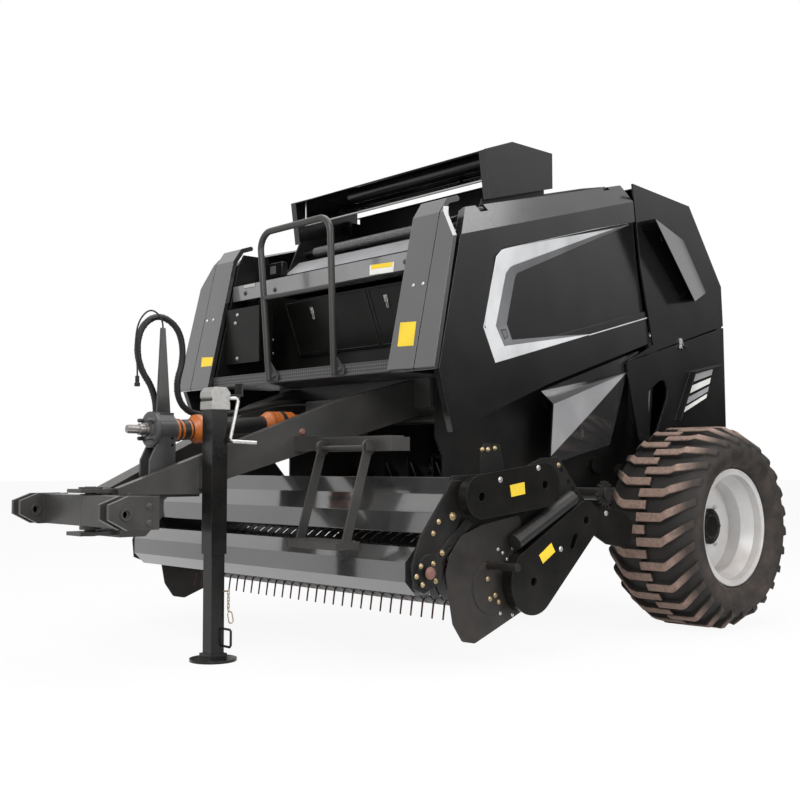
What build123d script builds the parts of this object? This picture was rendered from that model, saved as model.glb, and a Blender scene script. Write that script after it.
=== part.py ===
from build123d import *
import math
import os

# Round baler with a two-point drawbar, a raised net-wrap lid and a wide pickup.
# Millimetres. X points to the machine's left, Y to the rear, Z up.
# Inside this script Y is 0 at the wheel axle and Z is 0 on the ground.
# The exported model is moved along Y so that its origin is under the middle of its box.

# Wheels
tyre_r = 535.0
axle_z = 535.0
tyre_width = 540.0
wheel_x = 1120.0
bead_r = 286.0
flange_r = 300.0
rim_wall = 9.0
lug_height = 30.0
lug_width = 46.0
lug_count = 26
lug_inner_x = -24.0
lug_bend_x = 118.0
lug_lean = 90.0
hub_r = 95.0
hub_inner_x = 975.0
hub_outer_x = 1195.0
wheel_disc_x = 1150.0
wheel_disc_t = 14.0
spindle_r = 40.0
spindle_end_x = 1180.0
shaft_gap = 0.3
seat_gap = 0.3

# Axle and rails
axle_side = 120.0
axle_half = 780.0
rail_height = 80.0
rail_inner_x = 627.0
rail_width = 90.0
rail_front_y = -1450.0
rail_rear_y = 85.0

# Bale chamber
wall_inner_x = 615.0
wall_front_y = -1500.0
deck_low_z = 1292.0
deck_top_z = 1350.0
net_floor = [(-1420, 1958), (-1300, 2058), (-830, 2183)]
net_floor_t = 6.0
roof_line = [(-800, 2290), (-420, 2392), (-162, 2452)]
roof_t = 10.0
wall_t = 12.0
chamber_y = -38.0
chamber_z = 1520.0
roller_circle_r = 695.0
roller_core_r = 88.0
roller_rib_r = 98.0
roller_side_gap = 8.0
roller_shaft_r = 25.0
roller_ribs = 8
bearing_r = 46.0
hinge_y = -110.0
hinge_z = 2425.0
hinge_r = 24.0
hinge_half = 600.0
split_lean_deg = 8.6
split_gap = 6.0

# Body shell
front_x = 1055.0
rear_x = 815.0
shell_t = 12.0
door_t = 34.0
door_recess = 14.0

# Pickup
pickup_pivot_y = -940.0
pickup_pivot_z = 725.0
pivot_r = 30.0
rotor_shaft_x = 1235.0
sprocket_x = 1205.0
sprocket_teeth = 16
pickup_side_x = 1130.0
pickup_side_t = 14.0
reel_y = -1700.0
reel_z = 390.0
tine_tip_r = 235.0
reel_side_gap = 45.0
reel_shaft_r = 25.0
tine_rows = 5
tine_pitch = 70.0
tine_bar_r = 100.0
press_y = -2056.0
press_z = 420.0
press_r = 108.0
press_side_gap = 15.0
hub_t = 10.0
hub_plate_r = 72.0

# Drawbar and hitch
nose_y = -2910.0
hitch_pivot_y = -3000.0
hitch_pin_y = -3090.0
hitch_pin_z = 665.0
lower_link_span = 825.0
ear_t = 20.0
ear_gap = 55.0
pin_hole_r = 14.6
ear_front_y = -3155.0
hitch_half_depth = 45.0
jack_x = 275.0
jack_back = 370.0
jack_y = nose_y + jack_back
jack_side = 80.0

os.makedirs("parts", exist_ok=True)


# Helpers that every piece uses

def block(x, y, z):
    """A box between low and high values along each axis."""
    size = (x[1] - x[0], y[1] - y[0], z[1] - z[0])
    return Pos((x[0] + x[1]) / 2, (y[0] + y[1]) / 2, (z[0] + z[1]) / 2) * Box(*size)


def side_plate(points, x, thickness, corner=0.0):
    """A plate in the YZ plane, from x towards +X, with its corners rounded if asked."""
    outline = make_face(Polyline(*points, close=True))
    if corner:
        outline = fillet(outline.vertices(), corner)
    return extrude(Plane.YZ.offset(x) * outline, thickness)


def rod(start, end, radius, bore=0.0):
    """A round bar or tube between two points."""
    a = Vector(*start)
    b = Vector(*end)
    section = Circle(radius) - Circle(bore) if bore else Circle(radius)
    return extrude(Plane(origin=a, z_dir=b - a) * section, (b - a).length)


def bar(start, end, width, height, wall=0.0):
    """A rectangular bar or tube between two points, its width level."""
    a = Vector(*start)
    b = Vector(*end)
    run = b - a
    level = Vector(0, 0, 1).cross(run)
    if level.length < 1e-6:
        level = Vector(1, 0, 0)
    section = Rectangle(width, height)
    if wall:
        section = section - Rectangle(width - 2 * wall, height - 2 * wall)
    return extrude(Plane(origin=a, x_dir=level, z_dir=run) * section, run.length)


def mirrored(shape):
    """The same piece on the machine's right side."""
    return mirror(shape, about=Plane.YZ)


def group(*shapes):
    """One node of several solids that don't touch."""
    return Compound([solid for shape in shapes for solid in shape.solids()])


def both_sides(shape):
    """One node with a left and a right solid."""
    return group(shape, mirrored(shape))


def bent_sheet(points, thickness, x_low, x_high):
    """A sheet folded along X, its profile given by (y, z) points on one face."""
    line = Plane.YZ * Polyline(*points)
    band = offset(line, thickness / 2, side=Side.BOTH)
    face = make_face(band)
    return extrude(Pos(x_low, 0, 0) * face, x_high - x_low, dir=(1, 0, 0))


def facet(points, through, thickness, x_low=300.0, x_high=1300.0):
    """A flat sheet: the (y, z) outline seen from the side, on the plane through three points."""
    a, b, c = (Vector(*point) for point in through)
    normal = (b - a).cross(c - a).normalized()
    if normal.X < 0:
        normal = normal * -1
    sheet = half_space(a, normal) - half_space(a - normal * thickness, normal)
    return side_plate(points, x_low, x_high - x_low) & sheet


def belt_outline(a, a_r, b, b_r):
    """The outline round two circles in the YZ plane, with the straight sides that touch both."""
    run = Vector(b[0] - a[0], b[1] - a[1])
    heading = math.atan2(run.Y, run.X)
    spread = math.acos((a_r - b_r) / run.length)
    corners = [(c[0] + r * math.cos(heading + side * spread), c[1] + r * math.sin(heading + side * spread))
               for c, r, side in ((a, a_r, 1), (b, b_r, 1), (b, b_r, -1), (a, a_r, -1))]
    sides = make_face(Polyline(*corners, close=True))
    return sides + Pos(*a) * Circle(a_r) + Pos(*b) * Circle(b_r)


def bend_radii(points):
    """For each corner of a route: the radius that leaves a straight part between two bends."""
    radii = []
    for before, corner, after in zip(points, points[1:], points[2:]):
        run_in = Vector(*corner) - Vector(*before)
        run_out = Vector(*after) - Vector(*corner)
        turn = math.radians(run_in.get_angle(run_out))
        radii.append(0.45 * min(run_in.length, run_out.length) / math.tan(turn / 2))
    return radii


def cord(points, diameter):
    """A hose or cable along straight runs joined by arcs that touch both."""
    radii = bend_radii(points)
    edges = []
    here = Vector(*points[0])
    for corner, after, radius in zip(points[1:], points[2:], radii):
        middle = Vector(*corner)
        run_in = (middle - here).normalized()
        run_out = (Vector(*after) - middle).normalized()
        turn = math.radians(run_in.get_angle(run_out))
        reach = radius * math.tan(turn / 2)
        start = middle - run_in * reach
        end = middle + run_out * reach
        towards = (run_out - run_in).normalized()
        top = middle + towards * (radius / math.cos(turn / 2) - radius)
        edges += [Edge.make_line(here, start), Edge.make_three_point_arc(start, top, end)]
        here = end
    edges.append(Edge.make_line(here, Vector(*points[-1])))
    route = Wire(edges)
    first = (Vector(*points[1]) - Vector(*points[0])).normalized()
    tube = sweep(Plane(origin=Vector(*points[0]), z_dir=first) * Circle(diameter / 2), path=route)
    length = sum(edge.length for edge in edges)
    section = math.pi * diameter ** 2 / 4
    print(f"cord {diameter:.0f} mm: length {length:.0f} mm, radii {[round(r) for r in radii]}, "
          f"volume over section times length {tube.volume / (section * length):.4f}")
    return tube


# Wheels

def ring_body(stations, sides=lug_count):
    """A many-sided body from (x, radius) stations, its axis along Z, flat between stations."""
    turns = [2 * math.pi * k / sides for k in range(sides)]
    rings = [[Vector(r * math.cos(turn), r * math.sin(turn), x) for turn in turns] for x, r in sorted(stations)]
    outlines = [rings[0], rings[-1]]
    for low, high in zip(rings, rings[1:]):
        outlines += [[low[k - 1], low[k], high[k], high[k - 1]] for k in range(sides)]
    return Solid(Shell([Face(Wire.make_polygon(outline)) for outline in outlines]))


def tyre_body():
    """The tyre without its lugs: crown, shoulders, dished sidewalls and beads, hollow inside."""
    half = tyre_width / 2
    tread_r = tyre_r - lug_height
    crown = [(half, tyre_r - 105), (half - 44, tread_r - 40), (half * 0.45, tread_r - 4)]
    shape = ring_body([(-x, r) for x, r in crown] + [(x, r) for x, r in crown[::-1]])
    cavity = [(half - 40, flange_r + 80), (half - 70, tread_r - 76)]
    few = lug_count // 2
    hollow = ring_body([(-x, r) for x, r in cavity] + [(x, r) for x, r in cavity[::-1]], few)
    for side in (1, -1):
        shape = shape - ring_body([(side * (half - 65), flange_r + 12), (side * (half - 8), flange_r + 55),
                                   (side * (half + 1), tyre_r - 125)])
        hollow = hollow - ring_body([(side * (half - 96), bead_r - 8), (side * (half - 39), flange_r + 82)], few)
    bore = RegularPolygon(bead_r, few, major_radius=False)
    return shape - hollow - extrude(Plane.XY.offset(-half) * bore, tyre_width)


def tyre_lug():
    """One tread bar at the top of the tyre: straight near the middle, then leaning to the shoulder."""
    end_x = tyre_width / 2 - 6
    side = lug_width / 2
    plan = make_face(Polyline(
        (lug_inner_x, -side), (lug_bend_x + 8, -side), (end_x, lug_lean - side),
        (end_x, lug_lean + side * 0.64), (lug_bend_x, side), (lug_inner_x, side), close=True))
    bar_shape = extrude(Plane.XY.offset(tyre_r - 200) * plan, 260)
    profile = [(lug_inner_x - 5, tyre_r - 44), (lug_inner_x - 5, tyre_r - 1), (150, tyre_r - 1),
               (end_x + 2, tyre_r - 84), (end_x + 2, tyre_r - 128), (225, tyre_r - 118), (120, tyre_r - 48)]
    crown = extrude(Plane.XZ.offset(-250) * make_face(Polyline(*profile, close=True)), 500)
    return bar_shape & crown


def tyre():
    """A wide flotation tyre on the left side, with two rows of bars set half a pitch apart."""
    body = Rot(0, 90, 0) * tyre_body()
    outer_bar = tyre_lug()
    inner_bar = mirror(outer_bar, about=Plane.YZ)
    pitch = 360 / lug_count
    bars = []
    for k in range(lug_count):
        bars.append(Rot(k * pitch, 0, 0) * outer_bar)
        bars.append(Rot((k + 0.5) * pitch, 0, 0) * inner_bar)
    return Pos(wheel_x, 0, axle_z) * body.fuse(*bars)


def rim():
    """A deep dished rim with its disc and hub, on the left side."""
    seat = tyre_width / 2 - 65 + seat_gap
    well_r = bead_r - 34
    outside = [(flange_r, seat + 9), (flange_r, seat), (bead_r - seat_gap, seat),
               (bead_r - seat_gap, seat - 36), (well_r, seat - 95)]
    inside = [(well_r - rim_wall, seat - 95), (bead_r - rim_wall, seat - 33), (bead_r - rim_wall, seat + 9)]
    section = outside + [(r, -x) for r, x in outside[::-1]] + [(r, -x) for r, x in inside[::-1]] + inside
    outer = Polyline(*section, close=True)
    barrel = revolve(Plane.XZ * make_face(outer), Axis.Z)
    disc_x = wheel_disc_x - wheel_x
    disc = Pos(0, 0, disc_x) * (Cylinder(well_r - 2, wheel_disc_t) - Cylinder(spindle_r + shaft_gap, 60))
    hub_low = hub_inner_x - wheel_x
    hub_high = hub_outer_x - wheel_x
    hub = Pos(0, 0, (hub_low + hub_high) / 2) * Cylinder(hub_r, hub_high - hub_low)
    bore_end = spindle_end_x - wheel_x + 4
    bore = Pos(0, 0, (hub_low - 5 + bore_end) / 2) * Cylinder(spindle_r + shaft_gap, bore_end - hub_low + 5)
    wheel = barrel + disc + hub - bore
    return Pos(wheel_x, 0, axle_z) * (Rot(0, 90, 0) * wheel)


def axle():
    """The square axle beam with a round spindle at each end."""
    beam = block((-axle_half, axle_half), (-axle_side / 2, axle_side / 2),
                 (axle_z - axle_side / 2, axle_z + axle_side / 2))
    stub = rod((axle_half - 1, 0, axle_z), (spindle_end_x, 0, axle_z), spindle_r)
    collar = rod((axle_half - 1, 0, axle_z), (hub_inner_x - 4, 0, axle_z), spindle_r + 22)
    stub = stub + collar
    return beam + stub + mirrored(stub)


rail_bottom_z = axle_z + axle_side / 2


def rails():
    """Two frame rails that lie on the axle beam, one each side of the chamber."""
    one = block((rail_inner_x, rail_inner_x + rail_width), (rail_front_y, rail_rear_y),
                (rail_bottom_z, rail_bottom_z + rail_height))
    return both_sides(one)


# Bale chamber

def split_y(z, offset_y=0.0):
    """The y of the split between chamber and tailgate at height z."""
    return hinge_y + (hinge_z - z) * math.tan(math.radians(split_lean_deg)) + offset_y


def roller_centres(angles):
    """Centres of chamber rollers at angles from the rear, in degrees."""
    return [(chamber_y + roller_circle_r * math.cos(math.radians(a)),
             chamber_z + roller_circle_r * math.sin(math.radians(a))) for a in angles]


front_roller_angles = (106.5, 126.5, 146.5, 166.5, 186.5, 206.5, 250.5, 270.5)
tailgate_roller_angles = tuple(87.5 - 20.0 * k for k in range(9))


def chamber_roller(y, z):
    """One ribbed steel roller on its shaft, between the chamber walls."""
    half = wall_inner_x - roller_side_gap
    ribs = []
    for k in range(roller_ribs):
        a = 2 * math.pi * k / roller_ribs
        step = math.pi / roller_ribs
        for turn, r in ((-0.30, roller_core_r), (-0.16, roller_rib_r), (0.16, roller_rib_r),
                        (0.30, roller_core_r)):
            ribs.append((y + r * math.cos(a + turn * step * 2), z + r * math.sin(a + turn * step * 2)))
    drum = side_plate(ribs, -half, 2 * half)
    hexagon = [(y + roller_shaft_r * math.cos(math.pi / 3 * k), z + roller_shaft_r * math.sin(math.pi / 3 * k))
               for k in range(6)]
    return drum + side_plate(hexagon, -wall_inner_x, 2 * wall_inner_x)


def roller_set(angles):
    return group(*[chamber_roller(y, z) for y, z in roller_centres(angles)])


def chamber_wall():
    """The fixed half of the left chamber wall, with the roller bearings and the hinge boss."""
    points = [
        (split_y(rail_bottom_z, -split_gap), rail_bottom_z), (rail_front_y, rail_bottom_z),
        (rail_front_y, 900), (wall_front_y, 1000), (wall_front_y, 1900),
        *[(y + 1, z - net_floor_t / 2 - 0.8) for y, z in net_floor], (-814, 2178),
        *[(y, z - roof_t / 2 - 0.4) for y, z in roof_line], (hinge_y, 2400), (split_y(2330, -split_gap), 2330)]
    wall = side_plate(points, wall_inner_x, wall_t)
    for y, z in roller_centres(front_roller_angles):
        wall = wall + rod((wall_inner_x + wall_t - 1, y, z), (wall_inner_x + wall_t + 26, y, z), bearing_r)
    wall = wall + rod((wall_inner_x, hinge_y, hinge_z), (wall_inner_x + wall_t, hinge_y, hinge_z), hinge_r + 12)
    wall = wall - rod((wall_inner_x - 5, pickup_pivot_y, pickup_pivot_z),
                      (wall_inner_x + wall_t + 5, pickup_pivot_y, pickup_pivot_z), pivot_r + shaft_gap)
    return wall


def feed_rotor():
    """The rotor that carries the crop from the pickup into the chamber."""
    tube_half = wall_inner_x - roller_side_gap
    y = pickup_pivot_y
    z = pickup_pivot_z
    rotor = rod((-tube_half, y, z), (tube_half, y, z), 78)
    rotor = rotor + rod((-797, y, z), (rotor_shaft_x, y, z), pivot_r)
    teeth = []
    for k in range(sprocket_teeth):
        for turn, r in ((-0.30, 52), (-0.12, 64), (0.12, 64), (0.30, 52)):
            a = 2 * math.pi * (k + turn) / sprocket_teeth
            teeth.append((y + r * math.cos(a), z + r * math.sin(a)))
    rotor = rotor + side_plate(teeth, sprocket_x, 12)
    for k in range(12):
        x = -tube_half + 45 + k * (2 * tube_half - 90) / 11
        star = []
        for arm in range(4):
            a = math.pi / 2 * arm + (0.4 if k % 2 else 0.0)
            for turn, r in ((-0.50, 74), (0.05, 185), (0.17, 185), (0.30, 74)):
                star.append((y + r * math.cos(a + turn), z + r * math.sin(a + turn)))
        rotor = rotor + side_plate(star, x - 6, 12)
    return rotor


def intake_floor():
    """The curved floor under the rotor."""
    outer = 218.0
    inner = 210.0
    pivot = (pickup_pivot_y, pickup_pivot_z)
    ring = Plane.YZ.offset(-wall_inner_x) * (Pos(*pivot) * (Circle(outer) - Circle(inner)))
    full = extrude(ring, 2 * wall_inner_x)
    keep = block((-wall_inner_x, wall_inner_x), (pickup_pivot_y - 120, pickup_pivot_y + 230),
                 (pickup_pivot_z - 230, pickup_pivot_z - 10))
    return full & keep


# Tailgate

# The tailgate's side in (y, z): the front edge is the seam with the door.
seam_top = (-130, 2448)
seam_mid = (-67, 1992)
seam_low = (48, 1550)
tail_edge = [(428, 2405), (762, 1956), (777, 1715)]
panel_edge = [(780, 1705), (790, 1100), (600, 830), (20, 905), (-94, 1004), (-205, 1430)]
cylinder_eye = (170.0, 2180.0)
eye_pin_r = 15.0


def tailgate_wall_outline(inset):
    """The outline of the tailgate's inner wall, moved in from the cover's edge by inset."""
    return [(split_y(2320, split_gap), 2320), (-52, 2380), (-52, 2440 - inset), (424 - inset, 2400 - inset),
            (756 - inset, 1952), (772 - inset, 1712), (784 - inset, 1104), (596, 836 + inset),
            (330, 760 + inset), (split_y(770, split_gap), 770 + inset)]


scoop_outline = [(-85, 2236), (360, 2193), (595, 1901), (329, 1815)]
scoop_rise = 95.0
scoop_t = 5.0
scoop_margin = 22.0
lamp_outline = [(411, 1413), (713, 1472), (642, 1286), (249, 1125)]
lamp_flange = 42.0
lug_t = 14.0
pin_end_gap = 0.3
cylinder_x = 760.0
eye_half = 20.0
inner_lug_x = cylinder_x - eye_half - 12
latch_place = (342.0, 1556.0)


def scoop():
    """The raised air scoop on the side cover: open at its front edge, level with the cover at its rear."""
    (ty, tz), (ry, rz), (by, bz), (fy, fz) = scoop_outline
    through = ((rear_x, ry, rz), (rear_x, by, bz), (rear_x + scoop_rise, fy, fz))
    a, b, c = (Vector(*point) for point in through)
    normal = (b - a).cross(c - a).normalized()
    if normal.X < 0:
        normal = normal * -1
    wedge = side_plate(scoop_outline, rear_x - 2, scoop_rise + 60) & half_space(a, normal)
    inside = side_plate([(ty - 60, tz - 12), (ty + scoop_margin, tz - 12), (ry - 8, rz - 8), (by - 10, bz + 4),
                         (fy + 4, fz + scoop_t + 3), (fy - 60, fz + scoop_t + 3)], rear_x - 10, scoop_rise + 80)
    return wedge - (inside & half_space(a - normal * scoop_t, normal))


def lamp_bracket():
    """The tray of the rear light: a floor on the cover with a flange at its front and its top."""
    (ly, lz), (ry, rz), _, (by, bz) = lamp_outline
    floor = side_plate(lamp_outline, rear_x - 1, 7)
    front = side_plate([(ly, lz), (ly + 7, lz - 1), (by + 7, bz + 2), (by, bz)], rear_x - 1, lamp_flange)
    top = side_plate([(ly, lz), (ry, rz), (ry - 2, rz - 6), (ly, lz - 7)], rear_x - 1, lamp_flange)
    return floor + front + top


def tailgate_side():
    """The left side of the tailgate: inner wall, outer covers with scoop and light, hinge and cylinder lugs."""
    wall = side_plate(tailgate_wall_outline(0), wall_inner_x, wall_t)
    for y, z in roller_centres(tailgate_roller_angles):
        wall = wall + rod((wall_inner_x + wall_t - 1, y, z), (wall_inner_x + wall_t + 26, y, z), bearing_r)
    cover_x = rear_x - shell_t
    upper = side_plate([seam_top, *tail_edge, (-196, 1438), (seam_low[0], seam_low[1] - 4), seam_mid],
                       cover_x, shell_t)
    (ty, tz), (ry, rz), (by, bz), (fy, fz) = scoop_outline
    mouth = side_plate([(ty + 30, tz - 30), (ry - 90, rz - 25), (by - 150, bz + 20), (fy - 10, fz + 40)],
                       cover_x - 5, shell_t + 10)
    lower = side_plate(panel_edge, cover_x, shell_t)
    cut_out = side_plate([(-12, 1276), (100, 1345), (150, 1352), (178, 1300), (172, 1249), (60, 1040), (1, 1005)],
                         cover_x - 5, shell_t + 10, 18)
    cover = (upper - mouth + scoop()) + (lower - cut_out + lamp_bracket())
    latch = rod((rear_x - 2, *latch_place), (rear_x + 26, *latch_place), 16)
    rim_points = [(-52, 2440), (424, 2400), (756, 1952), (772, 1712), (784, 1104), (596, 836)]
    rim_strip = bent_sheet(rim_points, 10, wall_inner_x + 1, cover_x + 1)
    lug_x = wall_inner_x + wall_t + 12
    lug = side_plate([(-52, 2455 - 20), (hinge_y, hinge_z + 30), (hinge_y - 26, hinge_z + 12),
                      (hinge_y - 26, hinge_z - 20), (hinge_y, hinge_z - 34), (-20, 2330), (60, 2330),
                      (60, 2425)], lug_x, 24)
    lug_foot = block((wall_inner_x + 1, lug_x + 24), (-40, 60), (2330, 2420))
    bore = rod((lug_x - 5, hinge_y, hinge_z), (lug_x + 30, hinge_y, hinge_z), hinge_r + shaft_gap)
    ey, ez = cylinder_eye
    eye_lug = side_plate([(ey - 42, ez - 30), (ey + 42, ez - 30), (ey + 42, ez + 100), (ey - 42, ez + 100)],
                         inner_lug_x - pin_end_gap, 12)
    eye_lug = eye_lug + block((wall_inner_x + 1, inner_lug_x + 2), (ey - 42, ey + 42), (ez + 76, ez + 100))
    return wall + rim_strip + cover + latch + lug + lug_foot + eye_lug - bore


def tailgate_skin():
    """The sheet that closes the tailgate from side to side over the top and the rear."""
    points = [(-70, 2436), (424, 2396), (750, 1952), (766, 1712), (778, 1104), (594, 840)]
    return bent_sheet(points, 8, -wall_inner_x, wall_inner_x)


def tailgate_rollers():
    return roller_set(tailgate_roller_angles)


# Body shell

def door_plane_x(y):
    """Half width of the body at y: the side doors lean in towards the tailgate."""
    front_y = -1930.0
    rear_y = -95.0
    return front_x + (rear_x - front_x) * (y - front_y) / (rear_y - front_y)


door_outline = [(-1893, 1289), (-1735, 1897), (-1590, 2072), (-152, 2448), (-148, 2425), (-83, 1992),
                (32, 1556), (-1042, 1260), (-1794, 1010)]
crease_front = (-1767, 1897)
crease_rear = (-160, 2337)
chamfer_in = 100.0
chamfer_up = 140.0


def half_space(origin, normal):
    """The large solid on the inner side of a plane."""
    size = 9000
    return Plane(origin=origin, z_dir=normal) * Box(size, size, size, align=(Align.CENTER, Align.CENTER, Align.MAX))


def chamfer_normal():
    """The outward direction of the left top chamfer."""
    a = Vector(door_plane_x(crease_front[0]), *crease_front)
    b = Vector(door_plane_x(crease_rear[0]), *crease_rear)
    return (b - a).cross(Vector(-chamfer_in, 0, chamfer_up)).normalized()


def body_envelope(inset):
    """The left outer surface of the body, moved in by inset: flat side and top chamfer."""
    a = Vector(door_plane_x(crease_front[0]), *crease_front)
    side_normal = Vector(1, door_plane_x(0) - door_plane_x(1), 0).normalized()
    top_normal = chamfer_normal()
    side = half_space(a - side_normal * inset, side_normal)
    return side & half_space(a - top_normal * inset, top_normal)


ridge_front = Vector(903, -1527, 2093)
ridge_rear = Vector(711, -70, 2493)
door_hinge_places = (0.03, 0.82)
door_pin_r = 8.0
recess_outline = [(-1403, 1892), (-1470, 1845), (-1550, 1510), (-1457, 1345), (-984, 1504), (60, 1752),
                  (60, 2290), (-331, 2162)]


def chamfer_down():
    """The direction down the door's top chamfer, square to its hinge axis."""
    down = (ridge_rear - ridge_front).normalized().cross(chamfer_normal())
    return down * -1 if down.Z > 0 else down


def door_axis(part):
    """A point on the left door's hinge axis, part of the way from its front to its rear."""
    normal = chamfer_normal()
    down = chamfer_down()
    return ridge_front + (ridge_rear - ridge_front) * part - normal * (door_t / 2) + down * 25


def along_hinge(part, half, radius, bore=0.0):
    """A round piece on the door's hinge axis, half its length each way."""
    along = (ridge_rear - ridge_front).normalized()
    middle = door_axis(part)
    return rod(tuple(middle - along * half), tuple(middle + along * half), radius, bore)


def door():
    """The left side door: flat side with a recessed panel, top chamfer, hinge pins at its upper edge."""
    prism = side_plate(door_outline, 400, 900)
    shell = prism & (body_envelope(0) - body_envelope(door_t))
    shell = shell & half_space(ridge_front, chamfer_down() * -1)
    shell = shell - (side_plate(recess_outline, 400, 900) - body_envelope(door_recess))
    for part in door_hinge_places:
        shell = shell - along_hinge(part, 32, 34) + along_hinge(part, 40, door_pin_r)
    return shell


def door_hinges():
    """The two fixed arms that carry the left door's hinge pins."""
    front_arm = bar((748, -1560, 2020), tuple(door_axis(door_hinge_places[0])), 24, 24)
    rear_arm = bar((wall_inner_x + wall_t / 2, -330, 2290), tuple(door_axis(door_hinge_places[1])), 24, 24)
    arms = []
    for arm, part, low_x in ((front_arm, door_hinge_places[0], 754),
                             (rear_arm, door_hinge_places[1], wall_inner_x + wall_t)):
        arm = arm & block((low_x, 1200), (-1800, 0), (1900, 2600))
        arms.append(arm + along_hinge(part, 26, 17) - along_hinge(part, 40, door_pin_r + shaft_gap))
    return group(*arms)


def front_band():
    """The pair of folded strips on the left front corner of the body."""
    points = [(-1912, 1296), (-1748, 2015), (-1700, 2085), (-1640, 2105)]
    outer = bent_sheet(points, 26, 924, 1080) & body_envelope(0)
    backing = bent_sheet([(y + 18, z) for y, z in points[:2]], 10, 890, 950)
    return bent_sheet(points, 26, 744, 918) + outer + backing


def roof():
    """The fixed roof between the net box and the tailgate, with the tailgate hinge tube."""
    sheet = bent_sheet(roof_line, roof_t, -760, 760)
    plan = Plane.XY.offset(2000) * make_face(Polyline(
        (-745, -900), (-632, -100), (632, -100), (745, -900), close=True))
    sheet = sheet & extrude(plan, 800)
    tube_end = wall_inner_x + wall_t + 50
    tube = group(rod((wall_inner_x + wall_t, hinge_y, hinge_z), (tube_end, hinge_y, hinge_z), hinge_r),
                 rod((-tube_end, hinge_y, hinge_z), (-wall_inner_x - wall_t, hinge_y, hinge_z), hinge_r))
    return group(sheet, tube)


def platform():
    """The step plate across the front of the body."""
    return block((-744, 744), (-1888, wall_front_y - 12), (deck_low_z, deck_top_z))


def handrail():
    """The bent tube rail that stands on the platform."""
    r = 17.0
    path = FilletPolyline((-196, -1905, 1300), (-285, -1905, 2085), (304, -1905, 2085), (338, -1905, 1300),
                          radius=85)
    start = Plane(origin=path @ 0, z_dir=path % 0)
    rail = sweep(start * Circle(r), path)
    cross = rod((-240, -1905, 1738), (318, -1905, 1738), 13)
    for x in (-196, 338):
        foot = Polyline((x - 6, 1300), (x - 6, 1405), (x + 12, 1385), (x + 68, 1325), (x + 68, 1300), close=True)
        rail = rail + extrude(Plane.XZ.offset(1888) * make_face(foot), 12)
    return rail + cross


def cross_beam():
    """The folded beam across the front, under the net box."""
    beam = block((-744, 744), (-1760, -1660), (1785, 1870)) - block((-740, 740), (-1752, -1650), (1793, 1862))
    return beam + block((-744, 744), (-1664, -1660), (1785, 1870))


def bulkhead():
    """The front wall between the body sides, with its leaning storage locker and a control box."""
    wall = block((-744, 744), (wall_front_y - 14, wall_front_y), (deck_top_z, 1945))
    face = wall_front_y - 12
    locker = side_plate([(face, 1790), (-1640, 1762), (-1530, 1468), (face, 1468)], -426, 1126)
    groove = side_plate([(-1700, 1800), (-1700, 1440), (-1534, 1440), (-1644, 1775)], 262, 6)
    shelf = block((-440, 700), (-1655, face), (1788, 1796))
    return wall + (locker - groove) + shelf


def control_box():
    """The closed box on the right inner side of the front, with its cover plate."""
    body = block((-734, -450), (-1800, -1700), (1435, 1715))
    cover = block((-734, -420), (-1812, -1800), (1425, 1730))
    arm = block((-744, -734), (-1790, -1710), (1500, 1660))
    return body + cover + arm


def side_panel():
    """The left inner wall of the body's front corner, which carries the folded strips."""
    outline = [(-1884, 1296), (-1727, 1985), (-1690, 2062), (-1520, 2062), (wall_front_y, 1945),
               (wall_front_y, 1296)]
    return side_plate(outline, 744, 10)


net_rear_top_z = 2397.0
net_half = 740.0
lid_side_x = 787.0
lid_flange = 36.0
feed_roll_y = -1250.0
feed_roll_z = 2120.0
feed_roll_r = 26.0


def net_box():
    """The net-wrap trough: end plates, floor, rear wall, knurled feed roll and the lid's seat."""
    end = side_plate([(-1445, 1955), (-1372, 2012), (-1290, 2190), (-890, 2290), (-890, 2362), (-820, 2362),
                      (-820, 2180), (-1290, 2054), (-1425, 1950)], net_half - 2, 10)
    floor = bent_sheet(net_floor, net_floor_t, -net_half, net_half)
    rear = block((-net_half, net_half), (-826, -820), (2180, net_rear_top_z)) + block(
        (-net_half, net_half), (-850, -820), (net_rear_top_z - 6, net_rear_top_z))
    roll = rod((-net_half, feed_roll_y, feed_roll_z), (net_half, feed_roll_y, feed_roll_z), 14)
    core = rod((-640, feed_roll_y, feed_roll_z), (640, feed_roll_y, feed_roll_z), feed_roll_r)
    return end + mirrored(end) + floor + rear + roll + core


lid_pivot_y = -860.0
lid_pivot_z = 2335.0


def net_lid():
    """The lid of the net box, swung up on its pivots, with the spreader bar and the spare roll inside."""
    end = side_plate([(-1320, 2426), (-1119, 2500), (-806, 2497), (-806, 2311), (-1286, 2180)], lid_side_x, 8)
    flange = side_plate([(-1320, 2424), (-1314, 2424), (-1280, 2182), (-1286, 2182)], lid_side_x - lid_flange,
                        lid_flange + 1)
    cover = bent_sheet([(-1316, 2422), (-1119, 2496), (-810, 2493), (-810, 2448)], 5, -794, 794)
    pivot = rod((net_half + 8, lid_pivot_y, lid_pivot_z), (lid_side_x + 1, lid_pivot_y, lid_pivot_z), 14)
    lid = end + mirrored(end) + flange + mirrored(flange) + cover + pivot + mirrored(pivot)
    lid = lid + rod((-788, -1000, 2408), (788, -1000, 2408), 10)
    for x in (-700, 314):
        lid = lid + rod((x, -1000, 2408), (x + 12, -1000, 2408), 26)
    return lid + rod((-420, -1150, 2430), (788, -1150, 2430), 44)


apron_x = 780.0
apron_t = 10.0


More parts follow.
